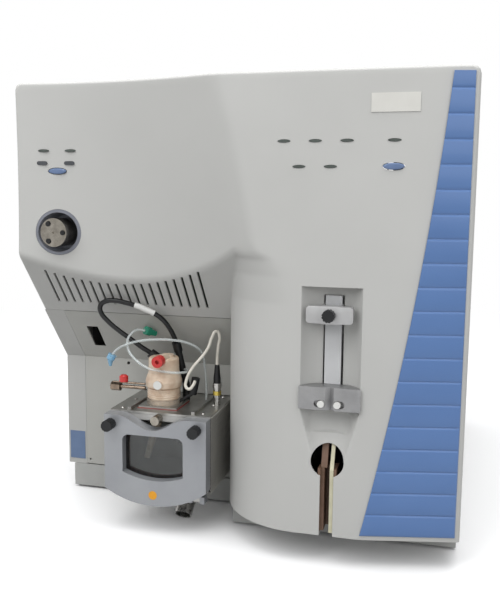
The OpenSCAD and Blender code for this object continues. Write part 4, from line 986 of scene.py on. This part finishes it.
def screw_heads():
    """Button heads on a flat rectangle, at its corners and half way along its sides."""
    tree, given = node_tree("screw_heads", (
        ("Width", "NodeSocketFloat", 0.1), ("Depth", "NodeSocketFloat", 0.1),
        ("Head", "NodeSocketFloat", 0.0028), ("Place", "NodeSocketVector", (0, 0, 0))))
    grid = add(tree, "GeometryNodeMeshGrid",
               {"Size X": given["Width"], "Size Y": given["Depth"],
                "Vertices X": 2, "Vertices Y": 3})
    head = add(tree, "GeometryNodeMeshCone",
               {"Vertices": 20, "Side Segments": 1, "Radius Bottom": given["Head"],
                "Radius Top": 0.0019, "Depth": 0.0014})
    return spread_over(tree, grid, head.outputs["Mesh"], turned_steel, Translation=given["Place"])


grow("top_plate_screws", screw_heads(),
     {"Width": 0.122, "Depth": 0.096, "Place": at(-104, 106, 171.7)}, turned_steel)


# ---------------------------------------------------------------- studio

def shown(tree):
    """1 for what the camera sees, straight or in metal and glass; 0 for the light itself."""
    rays = add(tree, "ShaderNodeLightPath").outputs
    straight = add(tree, "ShaderNodeMath", {0: rays["Is Camera Ray"], 1: rays["Is Glossy Ray"]},
                   operation="MAXIMUM")
    return add(tree, "ShaderNodeMath", {0: straight.outputs[0], 1: rays["Is Transmission Ray"]},
               operation="MAXIMUM").outputs[0]


FLOOR_HALF = 6.0         # metres
FADE = (0.75, 2.2)       # metres from the middle over which the paper turns into backdrop


def make_studio():
    """White paper floor and a soft white surround."""
    floor_mesh = bpy.data.meshes.new("floor")
    s = FLOOR_HALF
    floor_mesh.from_pydata([(-s, -s, 0), (s, -s, 0), (s, s, 0), (-s, s, 0)], [], [(0, 1, 2, 3)])
    floor = new_object("studio_floor", floor_mesh)
    paper, tree, shader, place = new_material("white_paper_floor")
    shader.inputs["Roughness"].default_value = 0.6
    seen = shown(tree)
    tone = add(tree, "ShaderNodeMix", {0: seen}, data_type="RGBA")
    tone.inputs["A"].default_value = srgb("#7c7c7b")
    tone.inputs["B"].default_value = srgb("#fdfdfd")
    tree.links.new(tone.outputs["Result"], shader.inputs["Base Color"])
    reach = add(tree, "ShaderNodeVectorMath", {0: place}, operation="LENGTH")
    far = add(tree, "ShaderNodeMapRange",
              {"Value": reach.outputs["Value"], "From Min": FADE[0], "From Max": FADE[1]})
    share = add(tree, "ShaderNodeMath", {0: far.outputs["Result"], 1: seen},
                operation="MULTIPLY")
    backdrop = add(tree, "ShaderNodeEmission", {"Color": srgb("#ffffff"), "Strength": 1.0})
    both = add(tree, "ShaderNodeMixShader",
               {0: share.outputs[0], 1: shader.outputs[0], 2: backdrop.outputs[0]})
    tree.links.new(both.outputs[0], next(n for n in tree.nodes if n.type == "OUTPUT_MATERIAL")
                   .inputs["Surface"])
    floor.data.materials.append(paper)
    world = bpy.data.worlds.new("studio")
    world.use_nodes = True
    tree = world.node_tree
    tree.nodes.clear()
    soft = add(tree, "ShaderNodeBackground", {"Color": srgb("#f4f5f8"), "Strength": 0.62})
    white = add(tree, "ShaderNodeBackground", {"Color": srgb("#ffffff"), "Strength": 1.0})
    mix = add(tree, "ShaderNodeMixShader",
              {0: shown(tree), 1: soft.outputs[0], 2: white.outputs[0]})
    add(tree, "ShaderNodeOutputWorld", {"Surface": mix.outputs[0]})
    scene.world = world


def area_light(name, place, aim, size, power):
    data = bpy.data.lights.new(name, "AREA")
    data.shape = "RECTANGLE"
    data.size, data.size_y = size
    data.energy = power
    lamp = bpy.data.objects.new(name, data)
    lamp.location = place
    lamp.rotation_euler = (Vector(aim) - Vector(place)).to_track_quat("-Z", "Y").to_euler()
    scene.collection.objects.link(lamp)


make_studio()
area_light("key_softbox", (-1.2, -2.2, 2.2), (0, -0.2, 0.3), (1.8, 1.8), 34)
area_light("front_fill", (1.6, -2.4, 1.2), (0, -0.2, 0.3), (1.8, 1.6), 15)
area_light("top_softbox", (0.2, -0.4, 3.0), (0, 0, 0), (3.0, 3.0), 88)
